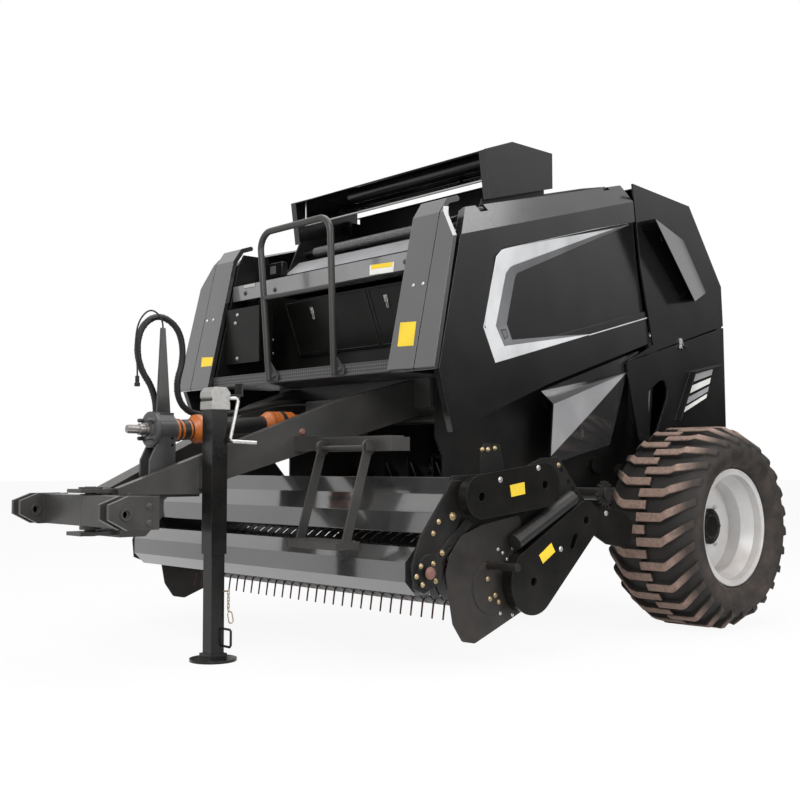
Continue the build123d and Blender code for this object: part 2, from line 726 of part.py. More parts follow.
def side_apron():
    """The fixed panel under the left door: upper half flat, lower half bent in, and the tray above it."""
    top_front = (apron_x, -796, 1181)
    top_rear = (apron_x, -159, 1383)
    low_front = (apron_x, -820, 911)
    upper = facet([top_front[1:], top_rear[1:], low_front[1:]], (top_front, top_rear, low_front), apron_t)
    lower = facet([top_rear[1:], (-229, 1080), (-258, 980), (-748, 880), low_front[1:]],
                  (top_rear, low_front, (apron_x - 45, -250, 1010)), apron_t)
    door_low = (door_plane_x(-1035) - door_t - 4, -1035, 1232)
    door_rear = (door_plane_x(-20) - door_t - 4, -20, 1515)
    tray = facet([top_front[1:], top_rear[1:], door_low[1:]], (top_front, top_rear, door_low), 4)
    tray = tray + facet([top_rear[1:], door_rear[1:], door_low[1:]], (top_rear, door_rear, door_low), 4)
    rib = block((wall_inner_x + wall_t, apron_x - 4), (-560, -540), (1000, 1225))
    return upper + lower + tray + rib


# Drawbar and what it carries

beam_front_x = 62.0
beam_rear_x = 470.0
beam_width = 90.0


def drawbar():
    """The A-shaped drawbar: two tapered box beams, nose plate, cross member and jack bracket."""
    outline = [(nose_y, 735), (-2560, 735), (-2430, 805), (wall_front_y, 1108), (wall_front_y, deck_low_z),
               (-1880, 1185), (nose_y, 765)]
    turn = math.atan2(beam_rear_x - beam_front_x, wall_front_y - nose_y)
    level = side_plate([((y - nose_y) / math.cos(turn), z) for y, z in outline], -beam_width / 2, beam_width)
    beam = Pos(beam_front_x, nose_y, 0) * (Rot(0, 0, -math.degrees(turn)) * level)
    nose = block((-120, 120), (nose_y + 22, -2520), (722, 742))
    cross = block((-wall_inner_x, wall_inner_x), (wall_front_y - 30, wall_front_y + 40), (1150, deck_low_z))
    beam_x_at_jack = beam_front_x + (jack_y - nose_y) * math.tan(turn)
    jack_bracket = block((beam_x_at_jack, jack_x - jack_side / 2), (jack_y - 40, jack_y + 40), (760, 860))
    return beam + mirrored(beam) + nose + cross + jack_bracket


yoke_top_z = 745.0


def hitch_yoke():
    """The block under the nose with the two plates that hold the swivel pin."""
    face = hitch_pivot_y + 84
    foot = side_plate([(face, 551), (-2790, 551), (-2700, 640), (-2700, 722), (face, 722)], -110, 220)
    web = block((-66, 66), (face - 12, face + 1), (700, yoke_top_z + 17))
    top = block((-66, 66), (hitch_pivot_y - 78, face + 2), (yoke_top_z, yoke_top_z + 17))
    cap = extrude(Plane.XY.offset(yoke_top_z + 16) * (Pos(0, hitch_pivot_y) * Circle(52)), 9)
    low = block((-66, 66), (hitch_pivot_y - 78, face + 2), (560, 577))
    pin = rod((0, hitch_pivot_y, 556), (0, hitch_pivot_y, 772), 24.7)
    return foot + web + top + cap + low + pin


def hitch_beam():
    """The cross beam that swivels on the pin, with a clevis for each lower link."""
    half = lower_link_span / 2
    reach = half - ear_gap / 2 - ear_t + 4
    tube = block((-reach, reach), (hitch_pivot_y - hitch_half_depth, hitch_pivot_y + hitch_half_depth),
                 (602, 735))
    boss = Pos(0, hitch_pivot_y, 0) * extrude(Plane.XY.offset(585) * Circle(46), 155)
    beam = tube + boss
    ear = [(-2927, 600), (-3070, 600), (ear_front_y, 645), (ear_front_y, 706), (-3070, 738), (-2927, 738)]
    for side in (1, -1):
        for ear_x in (side * half - ear_gap / 2 - ear_t, side * half + ear_gap / 2):
            beam = beam + side_plate(ear, ear_x, ear_t)
        for disc_x in (side * half - ear_gap / 2 - 1, side * half + ear_gap / 2 - 7):
            beam = beam + rod((disc_x, hitch_pin_y, hitch_pin_z), (disc_x + 8, hitch_pin_y, hitch_pin_z), 36)
        low = side * half - ear_gap / 2 - 2
        beam = beam + block((low, low + ear_gap + 4), (hitch_pivot_y - 30, hitch_pivot_y + 62), (606, 732))
        beam = beam - rod((side * half - 60, hitch_pin_y, hitch_pin_z),
                          (side * half + 60, hitch_pin_y, hitch_pin_z), pin_hole_r)
    knob_x = half - ear_gap / 2 - ear_t - 45
    front = hitch_pivot_y - hitch_half_depth
    beam = beam + rod((knob_x, front + 1, hitch_pin_z), (knob_x, front - 26, hitch_pin_z), 22)
    return beam - rod((0, hitch_pivot_y, 570), (0, hitch_pivot_y, 760), 25)


pto_z = 1028.0
pto_bearing_r = 30.0
bellows_folds = 6


def pto_support():
    """The bearing housing of the drive shaft on its forked pedestal, with a pad for post and hoses."""
    base = block((-56, 56), (-2760, -2600), (742, 756))
    shape = side_plate([(-2740, 756), (-2604, 756), (-2604, 1106), (-2690, 1106), (-2700, 960), (-2735, 890)],
                       -48, 96)
    fork = block((-36, 36), (-2800, -2622), (750, 945))
    for side in (1, -1):
        slope = Plane.XZ.offset(2500) * make_face(Polyline(
            (side * 20, 1110), (side * 52, 1110), (side * 52, 1060), close=True))
        shape = shape - extrude(slope, 300)
    case = rod((0, -2700, pto_z), (0, -2594, pto_z), 60) + rod((0, -2712, pto_z), (0, -2698, pto_z), 82)
    pad = block((-95, 30), (-2676, -2604), (1094, 1106))
    bore = rod((0, -2720, pto_z), (0, -2580, pto_z), pto_bearing_r + shaft_gap)
    return base + (shape - fork) + case + pad - bore


def pto_shaft():
    """The turning part of the drive shaft: the splined stub and its journal."""
    stub = rod((0, -2827, pto_z), (0, -2570, pto_z), 17.5)
    journal = rod((0, -2740, pto_z), (0, -2578, pto_z), pto_bearing_r)
    return stub + journal


def pto_guard():
    """The still guard of the drive line: orange bells, black tube and the ribbed rear bellows."""
    rise = math.tan(math.radians(4.3))

    def at(y):
        return (0, y, pto_z + (y + 2560) * rise)

    def cone(y, length, low_r, high_r):
        turn = Rot(-90 + 4.3, 0, 0)
        return Pos(*at(y + length / 2)) * (turn * Cone(low_r, high_r, length))

    neck = rod((0, -2594, pto_z), (0, -2560, pto_z), 52) - rod((0, -2600, pto_z), (0, -2566, pto_z), 40)
    front = rod(at(-2562), at(-2500), 46) + cone(-2502, 30, 46, 68) + rod(at(-2474), at(-2416), 68)
    tube = rod(at(-2418), at(-2085), 40)
    rear = rod(at(-1905), at(-1704), 40) + cone(-2087, 34, 46, 62)
    for k in range(bellows_folds):
        y = -2053 + k * 25
        rear = rear + rod(at(y), at(y + 14), 64 - k * 1.5) + rod(at(y + 12), at(y + 27), 57 - k * 1.5)
    return neck + front + tube + rear


hose_d = 30.0
hose_route = [(-70, -2640, 1106), (-70, -2640, 1200), (-68, -2742, 1330), (-66, -2740, 1490),
              (-68, -2640, 1575), (-72, -2520, 1520), (-80, -2485, 1380), (-86, -2530, 1235),
              (-92, -2480, 1125), (-100, -2340, 1100), (-130, -2085, 1135), (-200, -1800, 1200),
              (-200, -1530, 1200)]
cable_d = 8.0
cable_route = [(-10, -2643, 1500), (-10, -2643, 1545), (-22, -2700, 1590), (-36, -2752, 1535),
               (-40, -2770, 1440), (-40, -2756, 1345), (-40, -2756, 1275)]


def cable_plug():
    """The plug that hangs from the thin cable."""
    x, y, z = cable_route[-1]
    return rod((x, y, z), (x, y, z - 34), 10) + rod((x, y, z - 33), (x, y, z - 50), 13)


def hose_post():
    """The tapered post that holds the hoses up."""
    return side_plate([(-2672, 1106), (-2602, 1106), (-2632, 1500), (-2654, 1500)], -16, 12)


def main_gearbox():
    """The gearbox that the drive shaft runs to, bolted to the cross member."""
    return block((-150, 150), (-1700, wall_front_y - 30), (1000, 1200))


def jack_tube():
    """The parking jack's outer tube with its winding head, hanger plate and crank."""
    outer = bar((jack_x, jack_y, 470), (jack_x, jack_y, 1165), jack_side, jack_side, 6)
    head = block((jack_x - 46, jack_x + 46), (jack_y - 46, jack_y + 46), (1118, 1172))
    drum = rod((jack_x - 46, jack_y, 1172), (jack_x + 46, jack_y, 1172), 40)
    hanger = block((jack_x - 10, jack_x + 46), (jack_y + 40, jack_y + 120), (1175, 1183)) + block(
        (jack_x - 10, jack_x + 46), (jack_y + 112, jack_y + 120), (1175, 1235))
    grip = (jack_x + 60, jack_y + 46, 1165)
    crank = rod((jack_x + 30, jack_y + 40, 1165), (jack_x + 60, jack_y + 86, 1165), 8)
    elbow = (jack_x + 60, jack_y + 86, 1165)
    low = (jack_x + 60, jack_y + 40, 972)
    handle = (jack_x + 110, jack_y + 150, 965)
    crank = crank + rod(elbow, low, 8) + rod(low, handle, 8)
    for point in (elbow, low):
        crank = crank + Pos(*point) * Sphere(8)
    return outer + head + drum + hanger + crank


def jack_leg():
    """The jack's inner leg with its foot plate."""
    ground_z = axle_z - tyre_r
    inner_side = jack_side - 12 - 2 * shaft_gap
    leg = bar((jack_x, jack_y, ground_z + 10), (jack_x, jack_y, 780), inner_side, inner_side, 5)
    foot = rod((jack_x, jack_y, ground_z), (jack_x, jack_y, ground_z + 12), 105)
    collar = block((jack_x - 44, jack_x + 44), (jack_y - 44, jack_y + 44), (ground_z + 12, ground_z + 34))
    return leg + foot + collar


ladder_left_x = 900.0
ladder_right_x = 585.0
ladder_top = (-2172.0, 941.0)
ladder_low = (-2299.0, 528.0)
ladder_pin_r = 10.0


def ladder_bracket():
    """The arm on the left drawbar beam, with the step box that carries the ladder."""
    arm = block((300, 520), (-2138, -2124), (930, 1000)) + rod((298, -2138, 968), (298, -2124, 968), 36)
    foot = block((262, 334), (-2126, -2060), (932, 1004))
    arm = arm + foot
    box = block((500, 1010), (-2138, -2030), (925, 985)) - block((505, 1005), (-2133, -2020), (930, 980))
    tread = block((500, 1010), (-2138, -2030), (979, 985))
    pieces = (arm + box + tread) - drawbar()
    for x in (ladder_right_x - 20, ladder_left_x + 10):
        pieces = pieces + side_plate([(-2196, 926), (-2136, 926), (-2136, 961), (-2196, 961)], x, 10)
    pin = rod((ladder_right_x - 12, *ladder_top), (ladder_left_x + 12, *ladder_top), ladder_pin_r)
    return pieces + pin


def ladder():
    """The folding ladder: two stringers and two steps."""
    top = Vector(0, *ladder_top)
    low = Vector(0, *ladder_low)
    run = (low - top).normalized()
    pieces = None
    for x in (ladder_right_x, ladder_left_x):
        start = top + run * -20 + Vector(x, 0, 0)
        stringer = bar(tuple(start), tuple(low + Vector(x, 0, 0)), 8, 46)
        disc = rod((x - 7, *ladder_top), (x + 7, *ladder_top), 34)
        pieces = stringer + disc if pieces is None else pieces + stringer + disc
    step = block((ladder_right_x - 4, ladder_left_x + 4), (ladder_low[0] - 55, ladder_low[0] + 75),
                 (ladder_low[1] - 20, ladder_low[1] + 12))
    hole = rod((ladder_right_x - 20, *ladder_top), (ladder_left_x + 20, *ladder_top), ladder_pin_r + shaft_gap)
    return pieces + step - hole


# Pickup

side_outer_x = pickup_side_x + pickup_side_t
link_t = 9.0
gauge_pin = (-1713.0, 427.0)


def pickup_frame():
    """Cross tube, inner arms on the rotor shaft, side plates, press arms with hubs, and the gauge pins."""
    y, z = pickup_pivot_y, pickup_pivot_z
    arm = side_plate([(y - 60, z - 60), (y + 50, z - 50), (y + 50, z + 50), (y - 60, z + 60), (-1600, 706),
                      (-1588, 620)], 760, 22)
    arm = arm - rod((750, y, z), (800, y, z), pivot_r + shaft_gap)
    tube = block((-pickup_side_x - 2, pickup_side_x + 2), (-1640, -1570), (630, 700))
    side = side_plate([(-1905, 818), (-1500, 830), (-1320, 896), (-1200, 902), (-1117, 811), (-1003, 692),
                       (-1080, 640), (-1300, 600), (-1420, 480), (-1480, 300), (-1640, 250), (-1760, 300),
                       (-1900, 420), (-1985, 560), (-2005, 655), (-1932, 740)], pickup_side_x, pickup_side_t)
    tab = side_plate([(-1713, 790), (-1712, 935), (-1690, 960), (-1590, 955), (-1552, 800)],
                     pickup_side_x - 7, 8)
    press_arm = side_plate([(-2150, 450), (-2140, 352), (-2085, 330), (-2005, 360), (-1876, 620), (-1850, 700),
                            (-1856, 796), (-1922, 797), (-1965, 732), (-2104, 563)], side_outer_x - 1, 10)
    hub = rod((side_outer_x + 8, press_y, press_z), (side_outer_x + 8 + hub_t, press_y, press_z), hub_plate_r)
    link = side_plate([(-2024, 480), (-1835, 632), (-1795, 612), (-1998, 452)], side_outer_x + 8, link_t)
    link = link - side_plate([(-2000, 482), (-1940, 530), (-1932, 520), (-1992, 472)], side_outer_x + 12, link_t)
    pin = rod((side_outer_x - 2, *gauge_pin), (side_outer_x + 200, *gauge_pin), 17)
    side = side + tab + press_arm + hub + link + pin
    for shaft_y, shaft_z in ((reel_y, reel_z), (press_y, press_z)):
        side = side - rod((pickup_side_x - 5, shaft_y, shaft_z), (side_outer_x + 40, shaft_y, shaft_z),
                          reel_shaft_r + shaft_gap)
    return tube + arm + mirrored(arm) + side + mirrored(side)


def pickup_reel():
    """The tined reel: a drum with star plates, and bars that each carry a row of spring tines."""
    reel_half = pickup_side_x - reel_side_gap
    drum = rod((-reel_half, reel_y, reel_z), (reel_half, reel_y, reel_z), 50)
    shaft_half = side_outer_x - 4
    shaft = rod((-shaft_half, reel_y, reel_z), (shaft_half, reel_y, reel_z), reel_shaft_r)
    pieces = []
    count = int(2 * (reel_half - 30) / tine_pitch) + 1
    for row in range(tine_rows):
        heading = 2 * math.pi * row / tine_rows + 0.35

        def spot(r, turn):
            return (reel_y + r * math.cos(heading + turn), reel_z + r * math.sin(heading + turn))

        pieces.append(side_plate([spot(r, t) for r, t in (
            (tine_bar_r - 14, -0.14), (tine_bar_r + 12, -0.11), (tine_bar_r + 12, 0.11), (tine_bar_r - 14, 0.14))],
            -reel_half, 2 * reel_half))
        for k in range(count):
            x = (k - (count - 1) / 2) * tine_pitch
            pieces.append(side_plate([spot(r, t) for r, t in (
                (tine_bar_r, -0.05), (170, -0.016), (tine_tip_r, 0.12), (tine_tip_r, 0.142), (168, 0.02),
                (tine_bar_r, 0.02))], x - 3, 6))
    arm_turn = 2 * math.pi / tine_rows
    for x in (-reel_half, -reel_half / 2, 0, reel_half / 2, reel_half - 8):
        star = [(reel_y + r * math.cos(arm_turn * k + turn), reel_z + r * math.sin(arm_turn * k + turn))
                for k in range(tine_rows)
                for r, turn in ((tine_bar_r + 4, 0.20), (tine_bar_r + 4, 0.50), (58, 0.98))]
        pieces.append(side_plate(star, x, 8))
    return (shaft + drum).fuse(*pieces)


def press_roller():
    """The eight-sided crop-press roller in front of the reel."""
    corners = [(press_y + press_r * math.cos(math.pi / 8 * (2 * k + 1)),
                press_z + press_r * math.sin(math.pi / 8 * (2 * k + 1))) for k in range(8)]
    press_half = pickup_side_x - press_side_gap
    shaft_half = side_outer_x + hub_t + 22
    drum = side_plate(corners, -press_half, 2 * press_half)
    shaft = rod((-shaft_half, press_y, press_z), (shaft_half, press_y, press_z), reel_shaft_r)
    return drum + shaft


def crop_guard():
    """The folded wind guard above the reel."""
    points = [(-1760, 800), (-1890, 809), (-1916, 737), (-1990, 660), (-2010, 575)]
    return bent_sheet(points, 6, -pickup_side_x, pickup_side_x)


shield_x = side_outer_x + 20
case_x = 1180.0
case_depth = 62.0


def pickup_shield():
    """The rounded end shield of the pickup, on the left, with the cover of its cam track."""
    points = [(-1973, 404), (-1950, 480), (-1880, 560), (-1746, 605), (-1500, 640), (-1478, 215), (-1711, 130),
              (-1800, 98), (-1873, 112), (-1930, 190)]
    plate = side_plate(points, shield_x, 6, 26)
    cam_cover = rod((shield_x + 5, reel_y, 330), (shield_x + 11, reel_y, 330), 112)
    stand = rod((side_outer_x, -1640, 520), (shield_x + 1, -1640, 520), 14)
    return plate + cam_cover + stand - rod((side_outer_x, *gauge_pin), (shield_x + 20, *gauge_pin), 18)


def chain_case(a, a_r, b, b_r, stand):
    """A flat chain case on the left pickup side: rim, wider face plate, shaft holes, stand-off."""
    body = extrude(Plane.YZ.offset(case_x) * belt_outline(a, a_r - 10, b, b_r - 10), case_depth - 7)
    face = extrude(Plane.YZ.offset(case_x + case_depth - 8) * belt_outline(a, a_r, b, b_r), 8)
    case = body + face + rod((side_outer_x, *stand), (case_x + 1, *stand), 28)
    for centre in (a, b):
        case = case - rod((case_x + case_depth - 30, *centre), (case_x + case_depth + 5, *centre), 20)
    return case


def chain_case_upper():
    """The upper chain case, from the press roller's drive to the pickup's main shaft."""
    return chain_case((-1825, 728), 95, (-1411, 775), 100, (-1411, 775))


def chain_case_lower():
    """The lower chain case, from the pickup's main shaft to the reel, with the small cover behind it."""
    case = chain_case((-1495, 346), 148, (-1118, 605), 92, (-1440, 440))
    slot = extrude(Plane.YZ.offset(case_x + case_depth - 30) * (
        Pos(-1210, 512) * (Rot(0, 0, 60) * SlotCenterToCenter(50, 32))), 60)
    cover = side_plate([(-1060, 669), (-956, 669), (-748, 633), (-686, 578), (-701, 487), (-777, 460),
                        (-899, 481), (-1060, 560)], case_x + 2, 8, 18)
    return case - slot + cover


def lift_cylinder():
    """The closed cylinder beside the lower case that carries the pickup's weight."""
    middle_x = case_x + 30
    low = (middle_x, -1586, 521)
    high = (middle_x, -1183, 711)
    tube = rod(low, high, 36)
    feet = rod((side_outer_x, -1200, 703), (middle_x, -1200, 703), 13) + rod(
        (shield_x + 6, -1560, 533), (middle_x, -1560, 533), 13)
    return tube + feet


# Tailgate cylinders

cylinder_foot = (-20.0, 700.0)
foot_pin_r = 15.0


def cylinder_brackets():
    """The fork on each rail that holds a tailgate cylinder's foot."""
    edge = rail_inner_x + rail_width
    base = block((edge, 806), (-60, 20), (600, 660))
    plates = block((edge, edge + 9), (-60, 20), (600, 735)) + block((797, 806), (-60, 20), (600, 735))
    pin = rod((edge + 4, *cylinder_foot), (802, *cylinder_foot), foot_pin_r)
    return both_sides(base + plates + pin)


def cylinder_parts():
    """Barrel and rod of the left tailgate cylinder."""
    foot = Vector(cylinder_x, *cylinder_foot)
    eye = Vector(cylinder_x, *cylinder_eye)
    run = (eye - foot).normalized()
    barrel = rod(tuple(foot + run * 20), tuple(foot + run * 760), 32)
    barrel = barrel - rod(tuple(foot + run * 60), tuple(foot + run * 780), 20 + shaft_gap)
    barrel = barrel + rod((cylinder_x - 30, *cylinder_foot), (cylinder_x + 30, *cylinder_foot), 27)
    barrel = barrel - rod((cylinder_x - 35, *cylinder_foot), (cylinder_x + 35, *cylinder_foot),
                          foot_pin_r + shaft_gap)
    piston_rod = rod(tuple(foot + run * 70), tuple(eye - run * 22), 20)
    piston_rod = piston_rod + rod((cylinder_x - eye_half, *cylinder_eye), (cylinder_x + eye_half, *cylinder_eye), 27)
    pin_low = inner_lug_x + 12
    pin_high = rear_x - shell_t - pin_end_gap
    return barrel, piston_rod + rod((pin_low, *cylinder_eye), (pin_high, *cylinder_eye), eye_pin_r)


# Export

front_reach = ear_front_y
rear_reach = 790.0
box_shift = -(front_reach + rear_reach) / 2


def save(name, shape):
    moved = [Pos(0, box_shift, tyre_r - axle_z) * solid for solid in shape.solids()]
    export_step(moved[0] if len(moved) == 1 else Compound(moved), f"parts/{name}.step")


def main():
    barrel, piston_rod = cylinder_parts()
    left_tyre = tyre()
    left_tailgate_side = tailgate_side()
    nodes = {
        "axle_beam": axle(),
        "frame_rails": rails(),
        "tyre_left": left_tyre,
        "tyre_right": mirrored(left_tyre),
        "rim_left": rim(),
        "rim_right": mirrored(rim()),
        "chamber_wall_left": chamber_wall(),
        "chamber_wall_right": mirrored(chamber_wall()),
        "front_rollers": roller_set(front_roller_angles),
        "feed_rotor": feed_rotor(),
        "intake_floor": intake_floor(),
        "tailgate_side_left": left_tailgate_side,
        "tailgate_side_right": mirrored(left_tailgate_side),
        "tailgate_skin": tailgate_skin(),
        "tailgate_rollers": tailgate_rollers(),
        "door_hinges": both_sides(door_hinges()),
        "door_left": door(),
        "door_right": mirrored(door()),
        "front_bands": both_sides(front_band()),
        "roof": roof(),
        "platform": platform(),
        "handrail": handrail(),
        "cross_beam": cross_beam(),
        "bulkhead": bulkhead(),
        "control_box": control_box(),
        "side_panels": both_sides(side_panel()),
        "net_box": net_box(),
        "net_lid": net_lid(),
        "side_aprons": both_sides(side_apron()),
        "drawbar": drawbar(),
        "hitch_yoke": hitch_yoke(),
        "hitch_beam": hitch_beam(),
        "pto_support": pto_support(),
        "pto_shaft": pto_shaft(),
        "pto_guard": pto_guard(),
        "hose_post": hose_post(),
        "hose_bundle": cord(hose_route, hose_d),
        "control_cable": cord(cable_route, cable_d),
        "cable_plug": cable_plug(),
        "main_gearbox": main_gearbox(),
        "jack_tube": jack_tube(),
        "jack_leg": jack_leg(),
        "ladder_bracket": ladder_bracket(),
        "ladder": ladder(),
        "pickup_frame": pickup_frame(),
        "pickup_reel": pickup_reel(),
        "press_roller": press_roller(),
        "crop_guard": crop_guard(),
        "pickup_shields": both_sides(pickup_shield()),
        "chain_case_upper": chain_case_upper(),
        "chain_case_lower": chain_case_lower(),
        "lift_cylinder": lift_cylinder(),
        "cylinder_brackets": cylinder_brackets(),
        "cylinder_barrel_left": barrel,
        "cylinder_rod_left": piston_rod,
        "cylinder_barrel_right": mirrored(barrel),
        "cylinder_rod_right": mirrored(piston_rod),
    }
    for name, shape in nodes.items():
        save(name, shape)


main()
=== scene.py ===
"""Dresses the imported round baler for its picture: finishes, small parts, floor, light and camera.

Lengths are in metres. X points to the machine's left, Y to the rear and Z up. Places are written in
the machine's own frame, with Y = 0 at the axle, and AXLE_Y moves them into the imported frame.
"""

import logging
import math
from dataclasses import dataclass
from enum import Enum

import bmesh
import bpy
from mathutils import Matrix, Vector


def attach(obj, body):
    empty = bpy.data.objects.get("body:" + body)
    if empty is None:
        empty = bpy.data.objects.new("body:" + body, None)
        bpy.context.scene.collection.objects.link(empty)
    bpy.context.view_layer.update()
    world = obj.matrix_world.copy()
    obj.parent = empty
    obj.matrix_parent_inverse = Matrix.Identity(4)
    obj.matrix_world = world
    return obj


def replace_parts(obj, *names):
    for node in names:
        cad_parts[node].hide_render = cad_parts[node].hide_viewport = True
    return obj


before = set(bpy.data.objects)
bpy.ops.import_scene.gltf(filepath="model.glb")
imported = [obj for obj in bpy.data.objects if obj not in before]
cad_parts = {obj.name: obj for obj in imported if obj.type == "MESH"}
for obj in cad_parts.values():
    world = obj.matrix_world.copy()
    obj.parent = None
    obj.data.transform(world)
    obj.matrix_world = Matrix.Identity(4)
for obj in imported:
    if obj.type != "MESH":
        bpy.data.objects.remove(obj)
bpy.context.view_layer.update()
LOG = logging.getLogger("baler")

AXLE_Y = 1.1825
WHEEL_X = 1.12
WHEEL_Z = 0.535
PHOTO_SIDE = 800

Colour = tuple[float, float, float]
Point = tuple[float, float, float]
Side = tuple[float, float]
Row = list[Vector]


def at(x: float, y: float, z: float) -> Vector:
    """Turns a place in the machine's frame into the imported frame.

    Args:
        x: metres to the machine's left of its middle.
        y: metres behind the axle.
        z: metres above the ground.

    Returns:
        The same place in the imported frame.
    """
    return Vector((x, y + AXLE_Y, z))


def on_circle(radius: float, turn: float) -> Side:
    """A place on a circle about the origin.

    Args:
        radius: the circle's radius.
        turn: the angle from the first axis, in radians.

    Returns:
        How far it lies along the first axis and along the second.
    """
    return radius * math.cos(turn), radius * math.sin(turn)


class Detail(Enum):
    """The fine structure of a surface."""

    PAINT = "paint"
    BRUSHED = "brushed"
    CAST = "cast"
    RUBBER = "rubber"
    TREAD = "tread"
    PLASTIC = "plastic"
    CHEQUER = "chequer"
    KNURL = "knurl"


class Graph:
    """Adds and links shader nodes of one material."""

    def __init__(self, material: bpy.types.Material) -> None:
        material.use_nodes = True
        self.tree = material.node_tree
        self.shader = self.tree.nodes["Principled BSDF"]
        self.place = self.add("ShaderNodeTexCoord").outputs["Object"]

    def add(self, kind: str, **values: object) -> bpy.types.Node:
        """Adds a node and sets its inputs, by name, and its settings.

        Args:
            kind: the node's type name.
            **values: a setting of the node, or with a leading "in_" an input's value or link.

        Returns:
            The new node.
        """
        node = self.tree.nodes.new(kind)
        for name, value in values.items():
            if name.startswith("in_"):
                self.feed(node.inputs[name[3:].replace("_", " ")], value)
            else:
                setattr(node, name, value)
        return node

    def feed(self, socket: bpy.types.NodeSocket, value: object) -> None:
        """Links a socket into another, or sets its value.

        Args:
            socket: the input to feed.
            value: an output socket, or a plain value.
        """
        if isinstance(value, bpy.types.NodeSocket):
            self.tree.links.new(value, socket)
        else:
            socket.default_value = value

    def noise(self, scale: float, detail: float = 4.0, stretch: Point = (1, 1, 1)) -> bpy.types.NodeSocket:
        """A noise value from 0 to 1 over the object's own coordinates.

        Args:
            scale: how many grains per metre.
            detail: octaves of finer noise.
            stretch: scale along each axis.

        Returns:
            The noise's value.
        """
        mapped = self.add("ShaderNodeMapping", in_Vector=self.place, in_Scale=stretch)
        return self.add("ShaderNodeTexNoise", in_Vector=mapped.outputs[0], in_Scale=scale,
                        in_Detail=detail).outputs[0]

    def ramp(self, value: bpy.types.NodeSocket, low: float, high: float, to_low: float = 0.0,
             to_high: float = 1.0) -> bpy.types.NodeSocket:
        """Maps a value from one range onto another and keeps it inside.

        Args:
            value: the value to map.
            low: where the new range starts.
            high: where the new range ends.
            to_low: the result at low.
            to_high: the result at high.

        Returns:
            The mapped value.
        """
        node = self.add("ShaderNodeMapRange")
        for index, entry in enumerate((value, low, high, to_low, to_high)):
            self.feed(node.inputs[index], entry)
        return node.outputs[0]

    def maths(self, operation: str, a: object, b: object) -> bpy.types.NodeSocket:
        """One sum on two values.

        Args:
            operation: the Math node's operation.
            a: the first value.
            b: the second value.

        Returns:
            The result.
        """
        node = self.add("ShaderNodeMath", operation=operation)
        self.feed(node.inputs[0], a)
        self.feed(node.inputs[1], b)
        return node.outputs[0]

    def mix(self, part: object, a: object, b: object) -> bpy.types.NodeSocket:
        """Mixes two colours.

        Args:
            part: how much of the second colour, from 0 to 1.
            a: the first colour.
            b: the second colour.

        Returns:
            The mixed colour.
        """
        node = self.add("ShaderNodeMix", data_type="RGBA")
        self.feed(node.inputs[0], part)
        self.feed(node.inputs[6], (*a, 1) if isinstance(a, tuple) else a)
        self.feed(node.inputs[7], (*b, 1) if isinstance(b, tuple) else b)
        return node.outputs[2]


